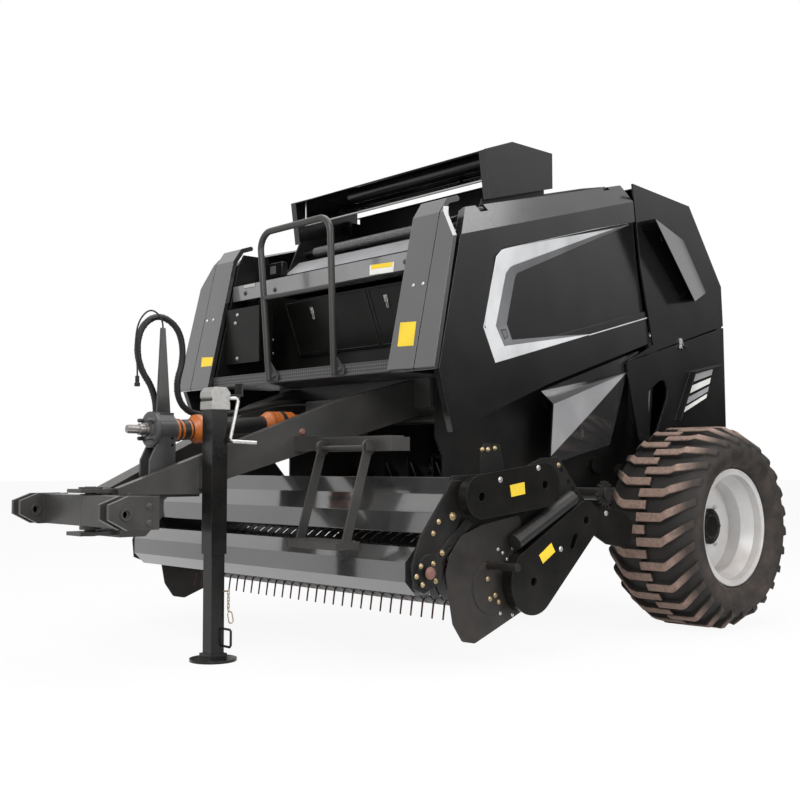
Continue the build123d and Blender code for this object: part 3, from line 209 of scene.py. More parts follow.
@dataclass(frozen=True)
class Finish:
    """One surface finish, with its procedural detail."""

    name: str
    slot: str
    colour: Colour
    rough: float
    metal: float = 0.0
    coat: float = 0.0
    gloss: float = 0.5
    detail: Detail = Detail.PAINT
    # The next two fields set a painted highlight along rounded edges: its strength and its colour.
    edge_highlight_share: float = 0.12
    edge_highlight_colour: Colour = (0.35, 0.35, 0.36)
    dust: float = 0.12
    dust_colour: Colour = (0.30, 0.24, 0.19)
    rounding: float = 0.003

    def material(self) -> bpy.types.Material:
        """Builds the node material, once.

        Returns:
            The material of this finish.
        """
        made = bpy.data.materials.get(self.name)
        if made:
            return made
        made = bpy.data.materials.new(self.name)
        g = Graph(made)
        rounded = g.add("ShaderNodeBevel", samples=4, in_Radius=self.rounding).outputs[0]
        fine = g.noise(70, 6)
        light = tuple(min(1.0, c * 1.13 + 0.002) for c in self.colour)
        colour = g.mix(g.ramp(g.noise(3.5), 0.35, 0.65), self.shade(0.86), light)
        rough = g.ramp(fine, 0.3, 0.7, max(0.02, self.rough - 0.05), self.rough + 0.06)
        colour, height, strength, depth = self.grain(g, colour, fine)
        # Painted highlight along the rounded edges.
        if self.edge_highlight_share:
            colour = self.paint_edge_highlights(g, colour, rounded)
        if self.dust:
            film = self.dust_film(g)
            colour = g.mix(film, colour, self.dust_colour)
            rough = g.maths("ADD", rough, g.maths("MULTIPLY", film, 0.5))
        bump = g.add("ShaderNodeBump", in_Strength=strength, in_Distance=depth, in_Height=height,
                     in_Normal=rounded)
        g.feed(g.shader.inputs["Base Color"], colour)
        g.feed(g.shader.inputs["Roughness"], rough)
        g.feed(g.shader.inputs["Normal"], bump.outputs[0])
        g.shader.inputs["Metallic"].default_value = self.metal
        g.shader.inputs["Coat Weight"].default_value = self.coat
        g.shader.inputs["Specular IOR Level"].default_value = self.gloss
        g.shader.inputs["Coat Roughness"].default_value = 0.06
        return made

    def shade(self, share: float) -> Colour:
        """The finish's colour, made darker or paler.

        Args:
            share: what each part of the colour is multiplied by.

        Returns:
            The new colour.
        """
        return tuple(c * share for c in self.colour)

    def grain(self, g: Graph, colour: bpy.types.NodeSocket, fine: bpy.types.NodeSocket
              ) -> tuple[bpy.types.NodeSocket, bpy.types.NodeSocket, float, float]:
        """The structure of the surface itself.

        Args:
            g: the material's graph.
            colour: the colour so far.
            fine: a fine noise, which plain paint takes as its height.

        Returns:
            The colour, the bump's height, its strength, and its depth in metres.
        """
        if self.detail is Detail.BRUSHED:
            lines = g.noise(60, 3, (0.04, 1, 1))
            return g.mix(g.ramp(lines, 0.3, 0.7), colour, self.shade(0.78)), lines, 0.10, 0.0006
        if self.detail is Detail.CAST:
            return colour, g.noise(220, 4), 0.35, 0.001
        if self.detail is Detail.RUBBER:
            return colour, g.noise(160, 5), 0.30, 0.001
        if self.detail is Detail.TREAD:
            return self.worn_tread(g, colour), g.noise(160, 5), 0.30, 0.001
        if self.detail is Detail.PLASTIC:
            return colour, g.noise(300, 2), 0.12, 0.0006
        if self.detail is Detail.CHEQUER:
            # Painted highlight: the raised lozenges are painted paler than the plate between them.
            lozenges = self.chequer(g)
            return g.mix(lozenges, colour, self.shade(3.2)), lozenges, 0.9, 0.002
        if self.detail is Detail.KNURL:
            # Painted shade: the hollows between the pips are painted darker than the pips.
            pips = self.knurl(g)
            return g.mix(pips, self.shade(0.35), colour), pips, 0.9, 0.002
        return colour, fine, 0.05, 0.0006

    def paint_edge_highlights(self, g: Graph, colour: bpy.types.NodeSocket,
                   rounded: bpy.types.NodeSocket) -> bpy.types.NodeSocket:
        """Painted highlight: paler colour along rounded edges, broken up by noise.

        Args:
            g: the material's graph.
            colour: the colour so far.
            rounded: the normal with its edges rounded.

        Returns:
            The colour with its painted edge highlight.
        """
        facing = g.add("ShaderNodeVectorMath", operation="DOT_PRODUCT")
        g.feed(facing.inputs[0], rounded)
        g.feed(facing.inputs[1], g.add("ShaderNodeNewGeometry").outputs["Normal"])
        edge = g.ramp(facing.outputs["Value"], 0.995, 0.88)
        edge = g.maths("MULTIPLY", edge, g.ramp(g.noise(40, 5), 0.4, 0.62, 0.15, 1.0))
        return g.mix(g.maths("MULTIPLY", edge, self.edge_highlight_share), colour, self.edge_highlight_colour)

    def dust_film(self, g: Graph) -> bpy.types.NodeSocket:
        """Dust that lies on upward faces and near the ground.

        Args:
            g: the material's graph.

        Returns:
            How much dust there is.
        """
        normal = g.add("ShaderNodeNewGeometry").outputs["Normal"]
        upward = g.add("ShaderNodeSeparateXYZ", in_Vector=normal).outputs["Z"]
        height = g.add("ShaderNodeSeparateXYZ", in_Vector=g.place).outputs["Z"]
        film = g.maths("MULTIPLY", g.ramp(upward, -0.2, 1.0, 0.25, 1.0), g.ramp(height, 0.1, 1.3, 1.0, 0.25))
        film = g.maths("MULTIPLY", film, g.ramp(g.noise(9, 8), 0.35, 0.7))
        return g.maths("MULTIPLY", film, self.dust)

    def worn_tread(self, g: Graph, colour: bpy.types.NodeSocket) -> bpy.types.NodeSocket:
        """Dark grooves, dusty bar tops and a brown film on the sidewall, by distance from the axle.

        Args:
            g: the material's graph.
            colour: the plain rubber's colour.

        Returns:
            The colour with its dust.
        """
        centred = g.add("ShaderNodeVectorMath", operation="SUBTRACT")
        g.feed(centred.inputs[0], g.place)
        centred.inputs[1].default_value = (0.0, AXLE_Y, WHEEL_Z)
        turned = g.add("ShaderNodeVectorMath", operation="MULTIPLY")
        g.feed(turned.inputs[0], centred.outputs[0])
        turned.inputs[1].default_value = (0.0, 1.0, 1.0)
        length = g.add("ShaderNodeVectorMath", operation="LENGTH")
        g.feed(length.inputs[0], turned.outputs[0])
        radius = length.outputs["Value"]
        side = g.add("ShaderNodeSeparateXYZ", in_Vector=g.place).outputs["X"]
        off = g.maths("ABSOLUTE", g.maths("SUBTRACT", g.maths("ABSOLUTE", side, 0.0), WHEEL_X), 0.0)
        shoulder = g.maths("MAXIMUM", g.maths("SUBTRACT", off, 0.15), 0.0)
        raised = g.maths("ADD", radius, g.maths("MULTIPLY", shoulder, 0.7075))
        scuffed = g.ramp(g.noise(55, 6), 0.25, 0.65, 0.55, 1.0)
        scuffed = g.maths("MULTIPLY", scuffed, g.ramp(off, 0.165, 0.235, 1.0, 0.10))
        tops = g.maths("MULTIPLY", g.ramp(raised, 0.5255, 0.5300), scuffed)
        wall = g.maths("MULTIPLY", g.ramp(radius, 0.455, 0.40), g.ramp(g.noise(14, 8), 0.38, 0.68))
        colour = g.mix(g.maths("MULTIPLY", wall, 0.55), colour, (0.075, 0.052, 0.042))
        return g.mix(tops, colour, (0.30, 0.205, 0.165))

    @staticmethod
    def chequer(g: Graph) -> bpy.types.NodeSocket:
        """The raised lozenges of tread plate, on level and on upright faces.

        Args:
            g: the material's graph.

        Returns:
            The height of the pattern.
        """
        place = g.add("ShaderNodeSeparateXYZ", in_Vector=g.place)
        along = place.outputs["X"]
        across = g.maths("ADD", place.outputs["Y"], place.outputs["Z"])
        wave_a = g.maths("SINE", g.maths("MULTIPLY", g.maths("ADD", along, across), 190.0), 0.0)
        wave_b = g.maths("SINE", g.maths("MULTIPLY", g.maths("SUBTRACT", along, across), 190.0), 0.0)
        return g.ramp(g.maths("MULTIPLY", wave_a, wave_b), 0.15, 0.4)

    @staticmethod
    def knurl(g: Graph) -> bpy.types.NodeSocket:
        """The small raised pips of a gripping sleeve.

        Args:
            g: the material's graph.

        Returns:
            The height of the pattern.
        """
        cells = g.add("ShaderNodeTexVoronoi", in_Vector=g.place, in_Scale=110.0, in_Randomness=0.35)
        return g.ramp(cells.outputs["Distance"], 0.52, 0.26)


GLOSS_BLACK = Finish("gloss_black_paint", "black_paint", (0.007, 0.007, 0.007), 0.18, gloss=0.28, dust=0.06)
CASE_BLACK = Finish("case_black_paint", "black_paint", (0.007, 0.007, 0.0065), 0.32, gloss=0.16, dust=0.06)
BODY_BLACK = Finish("body_black_paint", "anthracite_paint", (0.009, 0.009, 0.009), 0.16, gloss=0.50,
                    dust=0.03)
FRAME_BLACK = Finish("frame_black_paint", "black_paint", (0.010, 0.010, 0.010), 0.36, gloss=0.25, dust=0.12)
BAND_BLACK = Finish("band_black_paint", "black_paint", (0.022, 0.022, 0.022), 0.16, gloss=1.0, coat=0.8,
                    dust=0.03)
FRAME_GREY = Finish("frame_grey_paint", "anthracite_paint", (0.036, 0.035, 0.034), 0.32, gloss=0.35,
                    dust=0.2)
BEAM_GREY = Finish("beam_grey_paint", "anthracite_paint", (0.170, 0.170, 0.171), 0.20, gloss=1.0, coat=0.8,
                   dust=0.1)
GUARD_GREY = Finish("guard_grey_paint", "anthracite_paint", (0.032, 0.033, 0.034), 0.12, gloss=1.0,
                    coat=0.8, dust=0.15)
SHIELD_GREY = Finish("shield_grey_paint", "anthracite_paint", (0.024, 0.022, 0.021), 0.40, gloss=0.25,
                     dust=0.15)
SILVER_TRIM = Finish("silver_trim_paint", "rim_paint", (0.68, 0.69, 0.70), 0.32, metal=0.2, dust=0.0,
                     edge_highlight_share=0.0)
GREY_TRIM = Finish("grey_trim_paint", "grey_paint", (0.13, 0.13, 0.135), 0.35, gloss=0.3, dust=0.0,
                   edge_highlight_share=0.0)
# Pale grey of the lamp tray's stripes and the net floor strip, also used as a painted highlight on the
# aprons' upper fields.
PALE_GREY_AND_HIGHLIGHT = Finish("pale_grey_and_painted_highlight", "grey_paint", (0.33, 0.33, 0.34), 0.4, dust=0.1)
TREAD_PLATE = Finish("tread_plate_paint", "black_paint", (0.030, 0.030, 0.031), 0.34, detail=Detail.CHEQUER,
                     dust=0.1)
KNURLED = Finish("knurled_sleeve", "anthracite_paint", (0.30, 0.30, 0.31), 0.4, detail=Detail.KNURL,
                 edge_highlight_share=0.0, dust=0.1)
RIM_SILVER = Finish("rim_silver_paint", "rim_paint", (0.58, 0.575, 0.57), 0.40, metal=0.15, dust=0.55,
                    dust_colour=(0.42, 0.32, 0.26))
BARE_STEEL = Finish("bare_steel", "steel", (0.30, 0.29, 0.28), 0.34, metal=0.9, detail=Detail.BRUSHED,
                    dust=0.2)
ZINC = Finish("zinc_plate", "steel", (0.56, 0.555, 0.54), 0.36, metal=0.85, detail=Detail.BRUSHED,
              dust=0.05)
COVER_ZINC = Finish("cover_zinc_plate", "steel", (0.40, 0.395, 0.38), 0.45, metal=0.6,
                    detail=Detail.BRUSHED, dust=0.1)
GOLD_ZINC = Finish("gold_zinc_plate", "steel", (0.50, 0.38, 0.22), 0.35, metal=0.9, detail=Detail.BRUSHED,
                   dust=0.1)
RED_BROWN = Finish("red_brown_primer", "tine_paint", (0.20, 0.085, 0.065), 0.5, dust=0.2)
CHROME = Finish("chrome_rod", "chrome", (0.75, 0.75, 0.76), 0.08, metal=1.0, dust=0.05, edge_highlight_share=0.0)
TYRE_RUBBER = Finish("dusty_tyre_rubber", "tyre_rubber", (0.016, 0.015, 0.014), 0.70, gloss=0.35,
                     detail=Detail.TREAD, edge_highlight_share=0.0, dust=0.2, dust_colour=(0.13, 0.095, 0.075),
                     rounding=0.002)
BLACK_RUBBER = Finish("soft_black_rubber", "black_rubber", (0.010, 0.010, 0.010), 0.45, gloss=0.35,
                      detail=Detail.RUBBER, edge_highlight_share=0.0, dust=0.1)
ORANGE = Finish("orange_guard_plastic", "orange_plastic", (0.46, 0.110, 0.006), 0.4, detail=Detail.PLASTIC,
                edge_highlight_share=0.0, dust=0.2)
TINE = Finish("red_tine_paint", "tine_paint", (0.085, 0.028, 0.022), 0.45, gloss=0.3, dust=0.15)
CAST_BLACK = Finish("cast_black_paint", "black_paint", (0.045, 0.045, 0.046), 0.40, detail=Detail.CAST,
                    dust=0.15)
# Flat black for painted shade: hole mouths, the shadow under the doors' crease and the scoop's mouth.
PAINTED_SHADE_BLACK = Finish("painted_shade_black", "black_paint", (0.003, 0.003, 0.003), 0.8, gloss=0.1, dust=0.0,
                   edge_highlight_share=0.0)
STICKER = Finish("yellow_sticker", "orange_plastic", (0.88, 0.62, 0.03), 0.4, edge_highlight_share=0.0, dust=0.0)
STICKER_WHITE = Finish("white_sticker", "rim_paint", (0.80, 0.79, 0.76), 0.4, edge_highlight_share=0.0, dust=0.0)


NODE_FINISHES: dict[str, Finish] = {
    "axle_beam": FRAME_BLACK, "frame_rails": FRAME_BLACK, "tyre_left": TYRE_RUBBER,
    "tyre_right": TYRE_RUBBER, "rim_left": RIM_SILVER, "rim_right": RIM_SILVER,
    "chamber_wall_left": FRAME_BLACK, "chamber_wall_right": FRAME_BLACK, "front_rollers": BARE_STEEL,
    "feed_rotor": FRAME_BLACK, "intake_floor": BARE_STEEL, "tailgate_side_left": BODY_BLACK,
    "tailgate_side_right": BODY_BLACK, "tailgate_skin": BODY_BLACK, "tailgate_rollers": BARE_STEEL,
    "door_left": BODY_BLACK, "door_right": BODY_BLACK, "door_hinges": FRAME_BLACK,
    "front_bands": BAND_BLACK, "side_panels": GLOSS_BLACK, "roof": BODY_BLACK, "platform": TREAD_PLATE,
    "handrail": FRAME_GREY, "cross_beam": BEAM_GREY, "bulkhead": CASE_BLACK, "net_box": FRAME_BLACK,
    "net_lid": BODY_BLACK, "control_box": CASE_BLACK, "side_aprons": GUARD_GREY, "drawbar": FRAME_GREY,
    "hitch_yoke": FRAME_GREY, "hitch_beam": FRAME_GREY, "pto_support": CAST_BLACK, "pto_shaft": BARE_STEEL,
    "pto_guard": ORANGE, "hose_post": FRAME_GREY, "main_gearbox": CAST_BLACK, "hose_bundle": BLACK_RUBBER,
    "control_cable": BLACK_RUBBER, "cable_plug": BLACK_RUBBER, "jack_tube": GLOSS_BLACK,
    "jack_leg": GLOSS_BLACK, "ladder_bracket": FRAME_GREY, "ladder": FRAME_GREY,
    "pickup_frame": FRAME_BLACK, "pickup_reel": TINE, "press_roller": GUARD_GREY, "crop_guard": GUARD_GREY,
    "pickup_shields": SHIELD_GREY, "chain_case_upper": CASE_BLACK, "chain_case_lower": CASE_BLACK,
    "cylinder_brackets": FRAME_BLACK, "lift_cylinder": BLACK_RUBBER, "cylinder_barrel_left": GLOSS_BLACK,
    "cylinder_barrel_right": GLOSS_BLACK, "cylinder_rod_left": CHROME, "cylinder_rod_right": CHROME,
}


def dress_nodes() -> None:
    """Gives every carried-over CAD node its finish."""
    for name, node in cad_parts.items():
        finish = NODE_FINISHES[name]
        node.data.materials.clear()
        node.data.materials.append(finish.material())
    LOG.info("dressed %d CAD nodes", len(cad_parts))


class Head(Enum):
    """What a fastener shows."""

    HEX = "hex"
    NUT = "nut"
    DOME = "dome"
    HOLE = "hole"


class Piece:
    """A mesh piece made in Blender that rides on a body of the baler."""

    def __init__(self, name: str, body: str, finish: Finish) -> None:
        self.name = name
        self.body = body
        self.finish = finish
        self.mesh = bmesh.new()

    def skin(self, rows: list[Row], closed: bool = False) -> None:
        """Joins rings of points into a solid.

        Args:
            rows: rings with the same number of points each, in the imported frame.
            closed: joins the last ring to the first one instead of capping both.
        """
        made = [[self.mesh.verts.new(point) for point in row] for row in rows]
        pairs = list(zip(made, made[1:])) + ([(made[-1], made[0])] if closed else [])
        for low, high in pairs:
            for k in range(len(low)):
                self.mesh.faces.new((low[k - 1], low[k], high[k], high[k - 1]))
        if not closed:
            self.mesh.faces.new(made[0])
            self.mesh.faces.new(made[-1])

    def prism(self, points: list[Point], push: Point) -> None:
        """Adds a flat polygon pushed out to a solid.

        Args:
            points: the polygon's corners in the machine's frame.
            push: the direction and depth of the push.
        """
        foot = [at(*p) for p in points]
        self.skin([foot, [p + Vector(push) for p in foot]])

    def ribbon(self, line_a: list[Point], line_b: list[Point], push: Point) -> None:
        """Adds a strip between two lines with as many points each, given a thickness.

        Args:
            line_a: one edge in the machine's frame.
            line_b: the other edge.
            push: the direction and depth of its thickness.
        """
        depth = Vector(push)
        self.skin([[at(*a), at(*b), at(*b) + depth, at(*a) + depth] for a, b in zip(line_a, line_b)])

    def box(self, low: Point, high: Point) -> None:
        """Adds a block between two corners.

        Args:
            low: its lowest corner in the machine's frame.
            high: its highest corner.
        """
        (x0, y0, z0), (x1, y1, z1) = low, high
        self.prism([(x0, y0, z0), (x1, y0, z0), (x1, y1, z0), (x0, y1, z0)], (0, 0, z1 - z0))

    def lathe(self, foot: Point, axis: Point, profile: list[Side], sides: int = 16) -> None:
        """Adds a turned solid.

        Args:
            foot: where its axis starts in the machine's frame.
            axis: the direction of its axis.
            profile: its stations as (distance along the axis, radius).
            sides: how many sides it has.
        """
        turn = Vector(axis).to_track_quat("Z", "Y").to_matrix()
        angles = [math.tau * k / sides for k in range(sides)]
        self.skin([[at(*foot) + turn @ Vector((*on_circle(r, a), along)) for a in angles]
                   for along, r in profile])

    def tube(self, line: list[Point], radius: float, sides: int = 10, closed: bool = False) -> None:
        """Adds a bent rod.

        Args:
            line: its middle line in the machine's frame.
            radius: its radius.
            sides: how many sides it has.
            closed: True if its end joins its start.
        """
        points = [at(*p) for p in line]
        count = len(points)
        side = Vector((0.31, 0.27, 0.91))
        rows = []
        for k, point in enumerate(points):
            low = points[(k - 1) % count] if closed else points[max(k - 1, 0)]
            high = points[(k + 1) % count] if closed else points[min(k + 1, count - 1)]
            ahead = (high - low).normalized()
            side = (side - ahead * side.dot(ahead)).normalized()
            up = ahead.cross(side)
            circle = [on_circle(radius, math.tau * n / sides) for n in range(sides)]
            rows.append([point + side * a + up * b for a, b in circle])
        self.skin(rows, closed)

    def link(self, middle: Point, along: Point, across: Point, length: float, width: float,
             wire: float) -> None:
        """Adds one chain link or wire ring.

        Args:
            middle: its centre in the machine's frame.
            along: its long direction, one unit long.
            across: its short direction, one unit long.
            length: its length between wire centres.
            width: its width between wire centres.
            wire: its wire's radius.
        """
        straight = (length - width) / 2
        line = []
        for k in range(16):
            turn = math.tau * k / 16
            reach = math.sin(turn) * width / 2 + (straight if math.sin(turn) >= 0 else -straight)
            wide = math.cos(turn) * width / 2
            line.append(tuple(m + reach * a + wide * c for m, a, c in zip(middle, along, across)))
        self.tube(line, wire, 6, closed=True)

    def bolt(self, place: Point, axis: Point, size: float, head: Head) -> None:
        """Adds a bolt head, a nut, a stud, or a hole drawn as a dark disc of painted shade.

        Args:
            place: the middle of its foot in the machine's frame.
            axis: the direction in which it stands up.
            size: the radius of its head.
            head: its kind.
        """
        # A hole is a thin dark disc: painted shade where the hole's inside would be.
        if head is Head.HOLE:
            self.lathe(place, axis, [(-0.0005, size), (0.0006, size)], 16)
            return
        sink = -0.001 / size
        if head is Head.DOME:
            self.head(place, axis, size, [(sink, 1.0), (0.2, 1.0), (0.5, 0.75), (0.6, 0.4)], 16)
            return
        self.head(place, axis, size, [(sink, 1.3), (0.16, 1.3), (0.2, 1.22)], 18)
        self.head(place, axis, size, [(0.1, 1.0), (0.68, 1.0), (0.8, 0.84)], 6)
        if head is Head.NUT:
            self.head(place, axis, size, [(0.0, 0.52), (1.15, 0.52), (1.22, 0.42)], 12)

    def head(self, place: Point, axis: Point, size: float, profile: list[Side], sides: int) -> None:
        """Adds a turned part of a fastener, its profile given in radii of the head.

        Args:
            place: the middle of its foot in the machine's frame.
            axis: the direction in which it stands up.
            size: the radius of the head.
            profile: its stations as (height, radius), both in head radii.
            sides: how many sides it has.
        """
        self.lathe(place, axis, [(up * size, reach * size) for up, reach in profile], sides)

    def finish_up(self, bevel: float = 0.0) -> bpy.types.Object:
        """Turns the mesh into an object with its finish, riding on its body.

        Args:
            bevel: the width of rounded edges.

        Returns:
            The new object.
        """
        bmesh.ops.recalc_face_normals(self.mesh, faces=self.mesh.faces)
        for face in self.mesh.faces:
            face.smooth = True
        data = bpy.data.meshes.new(self.name)
        self.mesh.to_mesh(data)
        self.mesh.free()
        data.set_sharp_from_angle(angle=math.radians(32))
        made = bpy.data.objects.new(self.name, data)
        bpy.context.scene.collection.objects.link(made)
        data.materials.append(self.finish.material())
        if bevel:
            rounding = made.modifiers.new("rounding", "BEVEL")
            rounding.width = bevel
            rounding.segments = 2
            rounding.limit_method = "ANGLE"
            rounding.angle_limit = math.radians(35)
        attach(made, self.body)
        LOG.info("piece %s on %s", self.name, self.body)
        return made


@dataclass(frozen=True)
class BoltSet:
    """Like fasteners on one body, all pointing the same way."""

    name: str
    body: str
    finish: Finish
    head: Head
    size: float
    axis: Point
    places: tuple[Point, ...]
    both_sides: bool = False

    def build(self) -> bpy.types.Object:
        """Builds the set as one piece.

        Returns:
            The new object.
        """
        piece = Piece(self.name, self.body, self.finish)
        for side in (1, -1) if self.both_sides else (1,):
            for x, y, z in self.places:
                ax, ay, az = self.axis
                piece.bolt((side * x, y, z), (side * ax, ay, az), self.size, self.head)
        return piece.finish_up()


BOLT_SETS: tuple[BoltSet, ...] = (
    BoltSet("band_bolts", "frame", ZINC, Head.DOME, 0.009, (0, -0.97, 0.22),
            ((0.828, -1.837, 1.685), (0.892, -1.837, 1.685)), True),
    BoltSet("rail_foot_bolts", "frame", FRAME_GREY, Head.HEX, 0.011, (0, -1, 0),
            ((-0.160, -1.900, 1.325), (0.375, -1.900, 1.325))),
    BoltSet("control_cover_bolts", "frame", ZINC, Head.HEX, 0.008, (0, -1, 0),
            ((-0.625, -1.812, 1.696), (-0.644, -1.812, 1.652), (-0.625, -1.812, 1.454))),
    BoltSet("bulkhead_bolts", "frame", ZINC, Head.HEX, 0.008, (0, -1, 0),
            ((-0.702, -1.514, 1.584), (-0.702, -1.514, 1.507))),
    BoltSet("beam_bolts", "frame", FRAME_GREY, Head.HEX, 0.010, (0, -1, 0),
            ((-0.347, -1.760, 1.809), (-0.624, -1.760, 1.822), (0.690, -1.760, 1.822))),
    BoltSet("beam_side_bolt", "frame", RED_BROWN, Head.HEX, 0.013, (0.96, -0.28, 0),
            ((0.344, -2.101, 1.020),)),
    BoltSet("adapter_side_bolt", "frame", ZINC, Head.HEX, 0.011, (1, 0, 0), ((0.048, -2.622, 1.036),)),
    # Dark discs of painted shade where the adapter's side holes are.
    BoltSet("adapter_side_holes", "frame", PAINTED_SHADE_BLACK, Head.HOLE, 0.007, (1, 0, 0),
            ((0.048, -2.622, 0.989), (0.048, -2.621, 0.957))),
    BoltSet("tab_bolts", "frame", GOLD_ZINC, Head.NUT, 0.009, (1, 0, 0),
            ((1.131, -1.706, 0.932), (1.131, -1.669, 0.932), (1.131, -1.624, 0.938))),
    BoltSet("upper_case_bolts", "pickup", ZINC, Head.HEX, 0.010, (1, 0, 0),
            ((1.242, -1.711, 0.800), (1.242, -1.459, 0.851))),
    BoltSet("side_plate_bolt", "pickup", GOLD_ZINC, Head.NUT, 0.009, (1, 0, 0), ((1.144, -1.200, 0.864),)),
    # Dark discs of painted shade where the side plate's holes are.
    BoltSet("side_plate_holes", "pickup", PAINTED_SHADE_BLACK, Head.HOLE, 0.010, (1, 0, 0),
            ((1.144, -1.178, 0.841), (1.144, -1.128, 0.787), (1.144, -1.094, 0.754),
             (1.144, -1.072, 0.728))),
    BoltSet("lower_case_bolts", "pickup", ZINC, Head.HEX, 0.010, (1, 0, 0), ((1.242, -1.308, 0.481),)),
    BoltSet("case_end_bolt", "pickup", ZINC, Head.HEX, 0.010, (1, 0, 0), ((1.190, -0.902, 0.630),)),
    BoltSet("arm_large_bolt", "pickup", GOLD_ZINC, Head.NUT, 0.014, (1, 0, 0), ((1.153, -1.915, 0.646),)),
    BoltSet("arm_bolts", "pickup", GOLD_ZINC, Head.NUT, 0.009, (1, 0, 0),
            ((1.153, -1.998, 0.625), (1.153, -2.030, 0.578))),
    BoltSet("hub_bolts", "pickup", GOLD_ZINC, Head.NUT, 0.009, (1, 0, 0),
            ((1.162, -2.110, 0.446), (1.162, -2.039, 0.452), (1.162, -2.026, 0.379), (1.162, -2.101, 0.369),
             (1.162, -2.135, 0.405))),
    BoltSet("press_shaft_end", "press", RED_BROWN, Head.DOME, 0.0265, (1, 0, 0), ((1.176, -2.072, 0.4155),),
            True),
    BoltSet("link_bolt", "pickup", GOLD_ZINC, Head.NUT, 0.010, (1, 0, 0), ((1.161, -1.986, 0.494),)),
    BoltSet("shield_bolts", "pickup", ZINC, Head.DOME, 0.009, (1, 0, 0),
            ((1.170, -1.555, 0.493), (1.170, -1.650, 0.493), (1.170, -1.620, 0.476), (1.170, -1.591, 0.446),
             (1.170, -1.639, 0.213), (1.170, -1.560, 0.200)), True),
    BoltSet("cam_cover_bolts", "pickup", GOLD_ZINC, Head.HEX, 0.009, (1, 0, 0),
            ((1.175, -1.722, 0.369), (1.175, -1.708, 0.282), (1.175, -1.675, 0.295),
             (1.175, -1.651, 0.265)), True),
    BoltSet("hitch_plate_bolts", "hitch", FRAME_GREY, Head.HEX, 0.013, (1, 0, 0),
            ((0.460, -2.975, 0.694), (0.460, -2.975, 0.626)), True),
)


class Tyre:
    """A flotation tyre with two rows of bars, in the form of the CAD tyre that it stands for."""

    bars: int = 26
    bar_half: float = 0.0225
    bar_taper: float = 0.06
    bar_edge: float = 0.0035
    body_line: list[Side] = [
        (0.205, 0.312), (0.232, 0.322), (0.256, 0.346), (0.259, 0.352), (0.264, 0.362), (0.2665, 0.385),
        (0.2695, 0.392), (0.2695, 0.398), (0.268, 0.420), (0.258, 0.440), (0.226, 0.465), (0.1215, 0.501),
        (0.06, 0.504)]
    bar_stations: list[tuple[float, float, float, float]] = [
        (-0.0240, 0.534, 0.492, 0.0), (0.0400, 0.534, 0.490, 0.0), (0.1180, 0.534, 0.488, 0.001),
        (0.1300, 0.534, 0.482, 0.007), (0.1500, 0.533, 0.470, 0.019), (0.1900, 0.504, 0.445, 0.045),
        (0.2300, 0.476, 0.420, 0.071), (0.2560, 0.458, 0.412, 0.087), (0.2635, 0.446, 0.410, 0.091)]

    def __init__(self, side: int) -> None:
        self.side = side
        self.word = "left" if side > 0 else "right"

    def build(self) -> None:
        """Builds the tyre of one wheel."""
        tyre = Piece(f"tyre_tread_{self.word}", f"wheel_{self.word}", TYRE_RUBBER)
        sides = self.bars * 4
        line = self.body_line + [(-x, r) for x, r in reversed(self.body_line)]
        line += [(-0.16, 0.34), (-0.16, 0.45), (0.16, 0.45), (0.16, 0.34)]
        tyre.skin([[self.place(x, *on_circle(r, math.tau * k / sides)) for k in range(sides)]
                   for x, r in line], closed=True)
        for k in range(self.bars):
            self.bar(tyre, 1, math.tau * k / self.bars)
            self.bar(tyre, -1, math.tau * (k + 0.5) / self.bars)
        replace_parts(tyre.finish_up(), f"tyre_{self.word}")

    def place(self, x: float, across: float, up: float) -> Vector:
        """Turns a place measured from the wheel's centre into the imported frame.

        Args:
            x: metres outward from the wheel's centre.
            across: metres to the rear.
            up: metres up.

        Returns:
            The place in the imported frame.
        """
        return at(self.side * (WHEEL_X + x), across, WHEEL_Z + up)

    def bar(self, tyre: Piece, row: int, turn: float) -> None:
        """Adds one tread bar, straight near the middle and leaning at the shoulder.

        Args:
            tyre: the piece that takes it.
            row: 1 for the outer row and -1 for the inner row.
            turn: its angle round the axle.
        """
        rows = []
        for x, top, foot, lean in self.bar_stations:
            half = self.bar_half - max(0.0, x - 0.2) * self.bar_taper
            left, right, edge = lean - half, lean + half, self.bar_edge
            section = [(left - 0.003, foot), (left, top - 0.004), (left + edge, top),
                       (right - edge, top), (right, top - 0.004), (right + 0.003, foot)]
            rows.append([self.place(row * x, t * math.cos(turn) - r * math.sin(turn),
                                    t * math.sin(turn) + r * math.cos(turn)) for t, r in section])
        tyre.skin(rows)


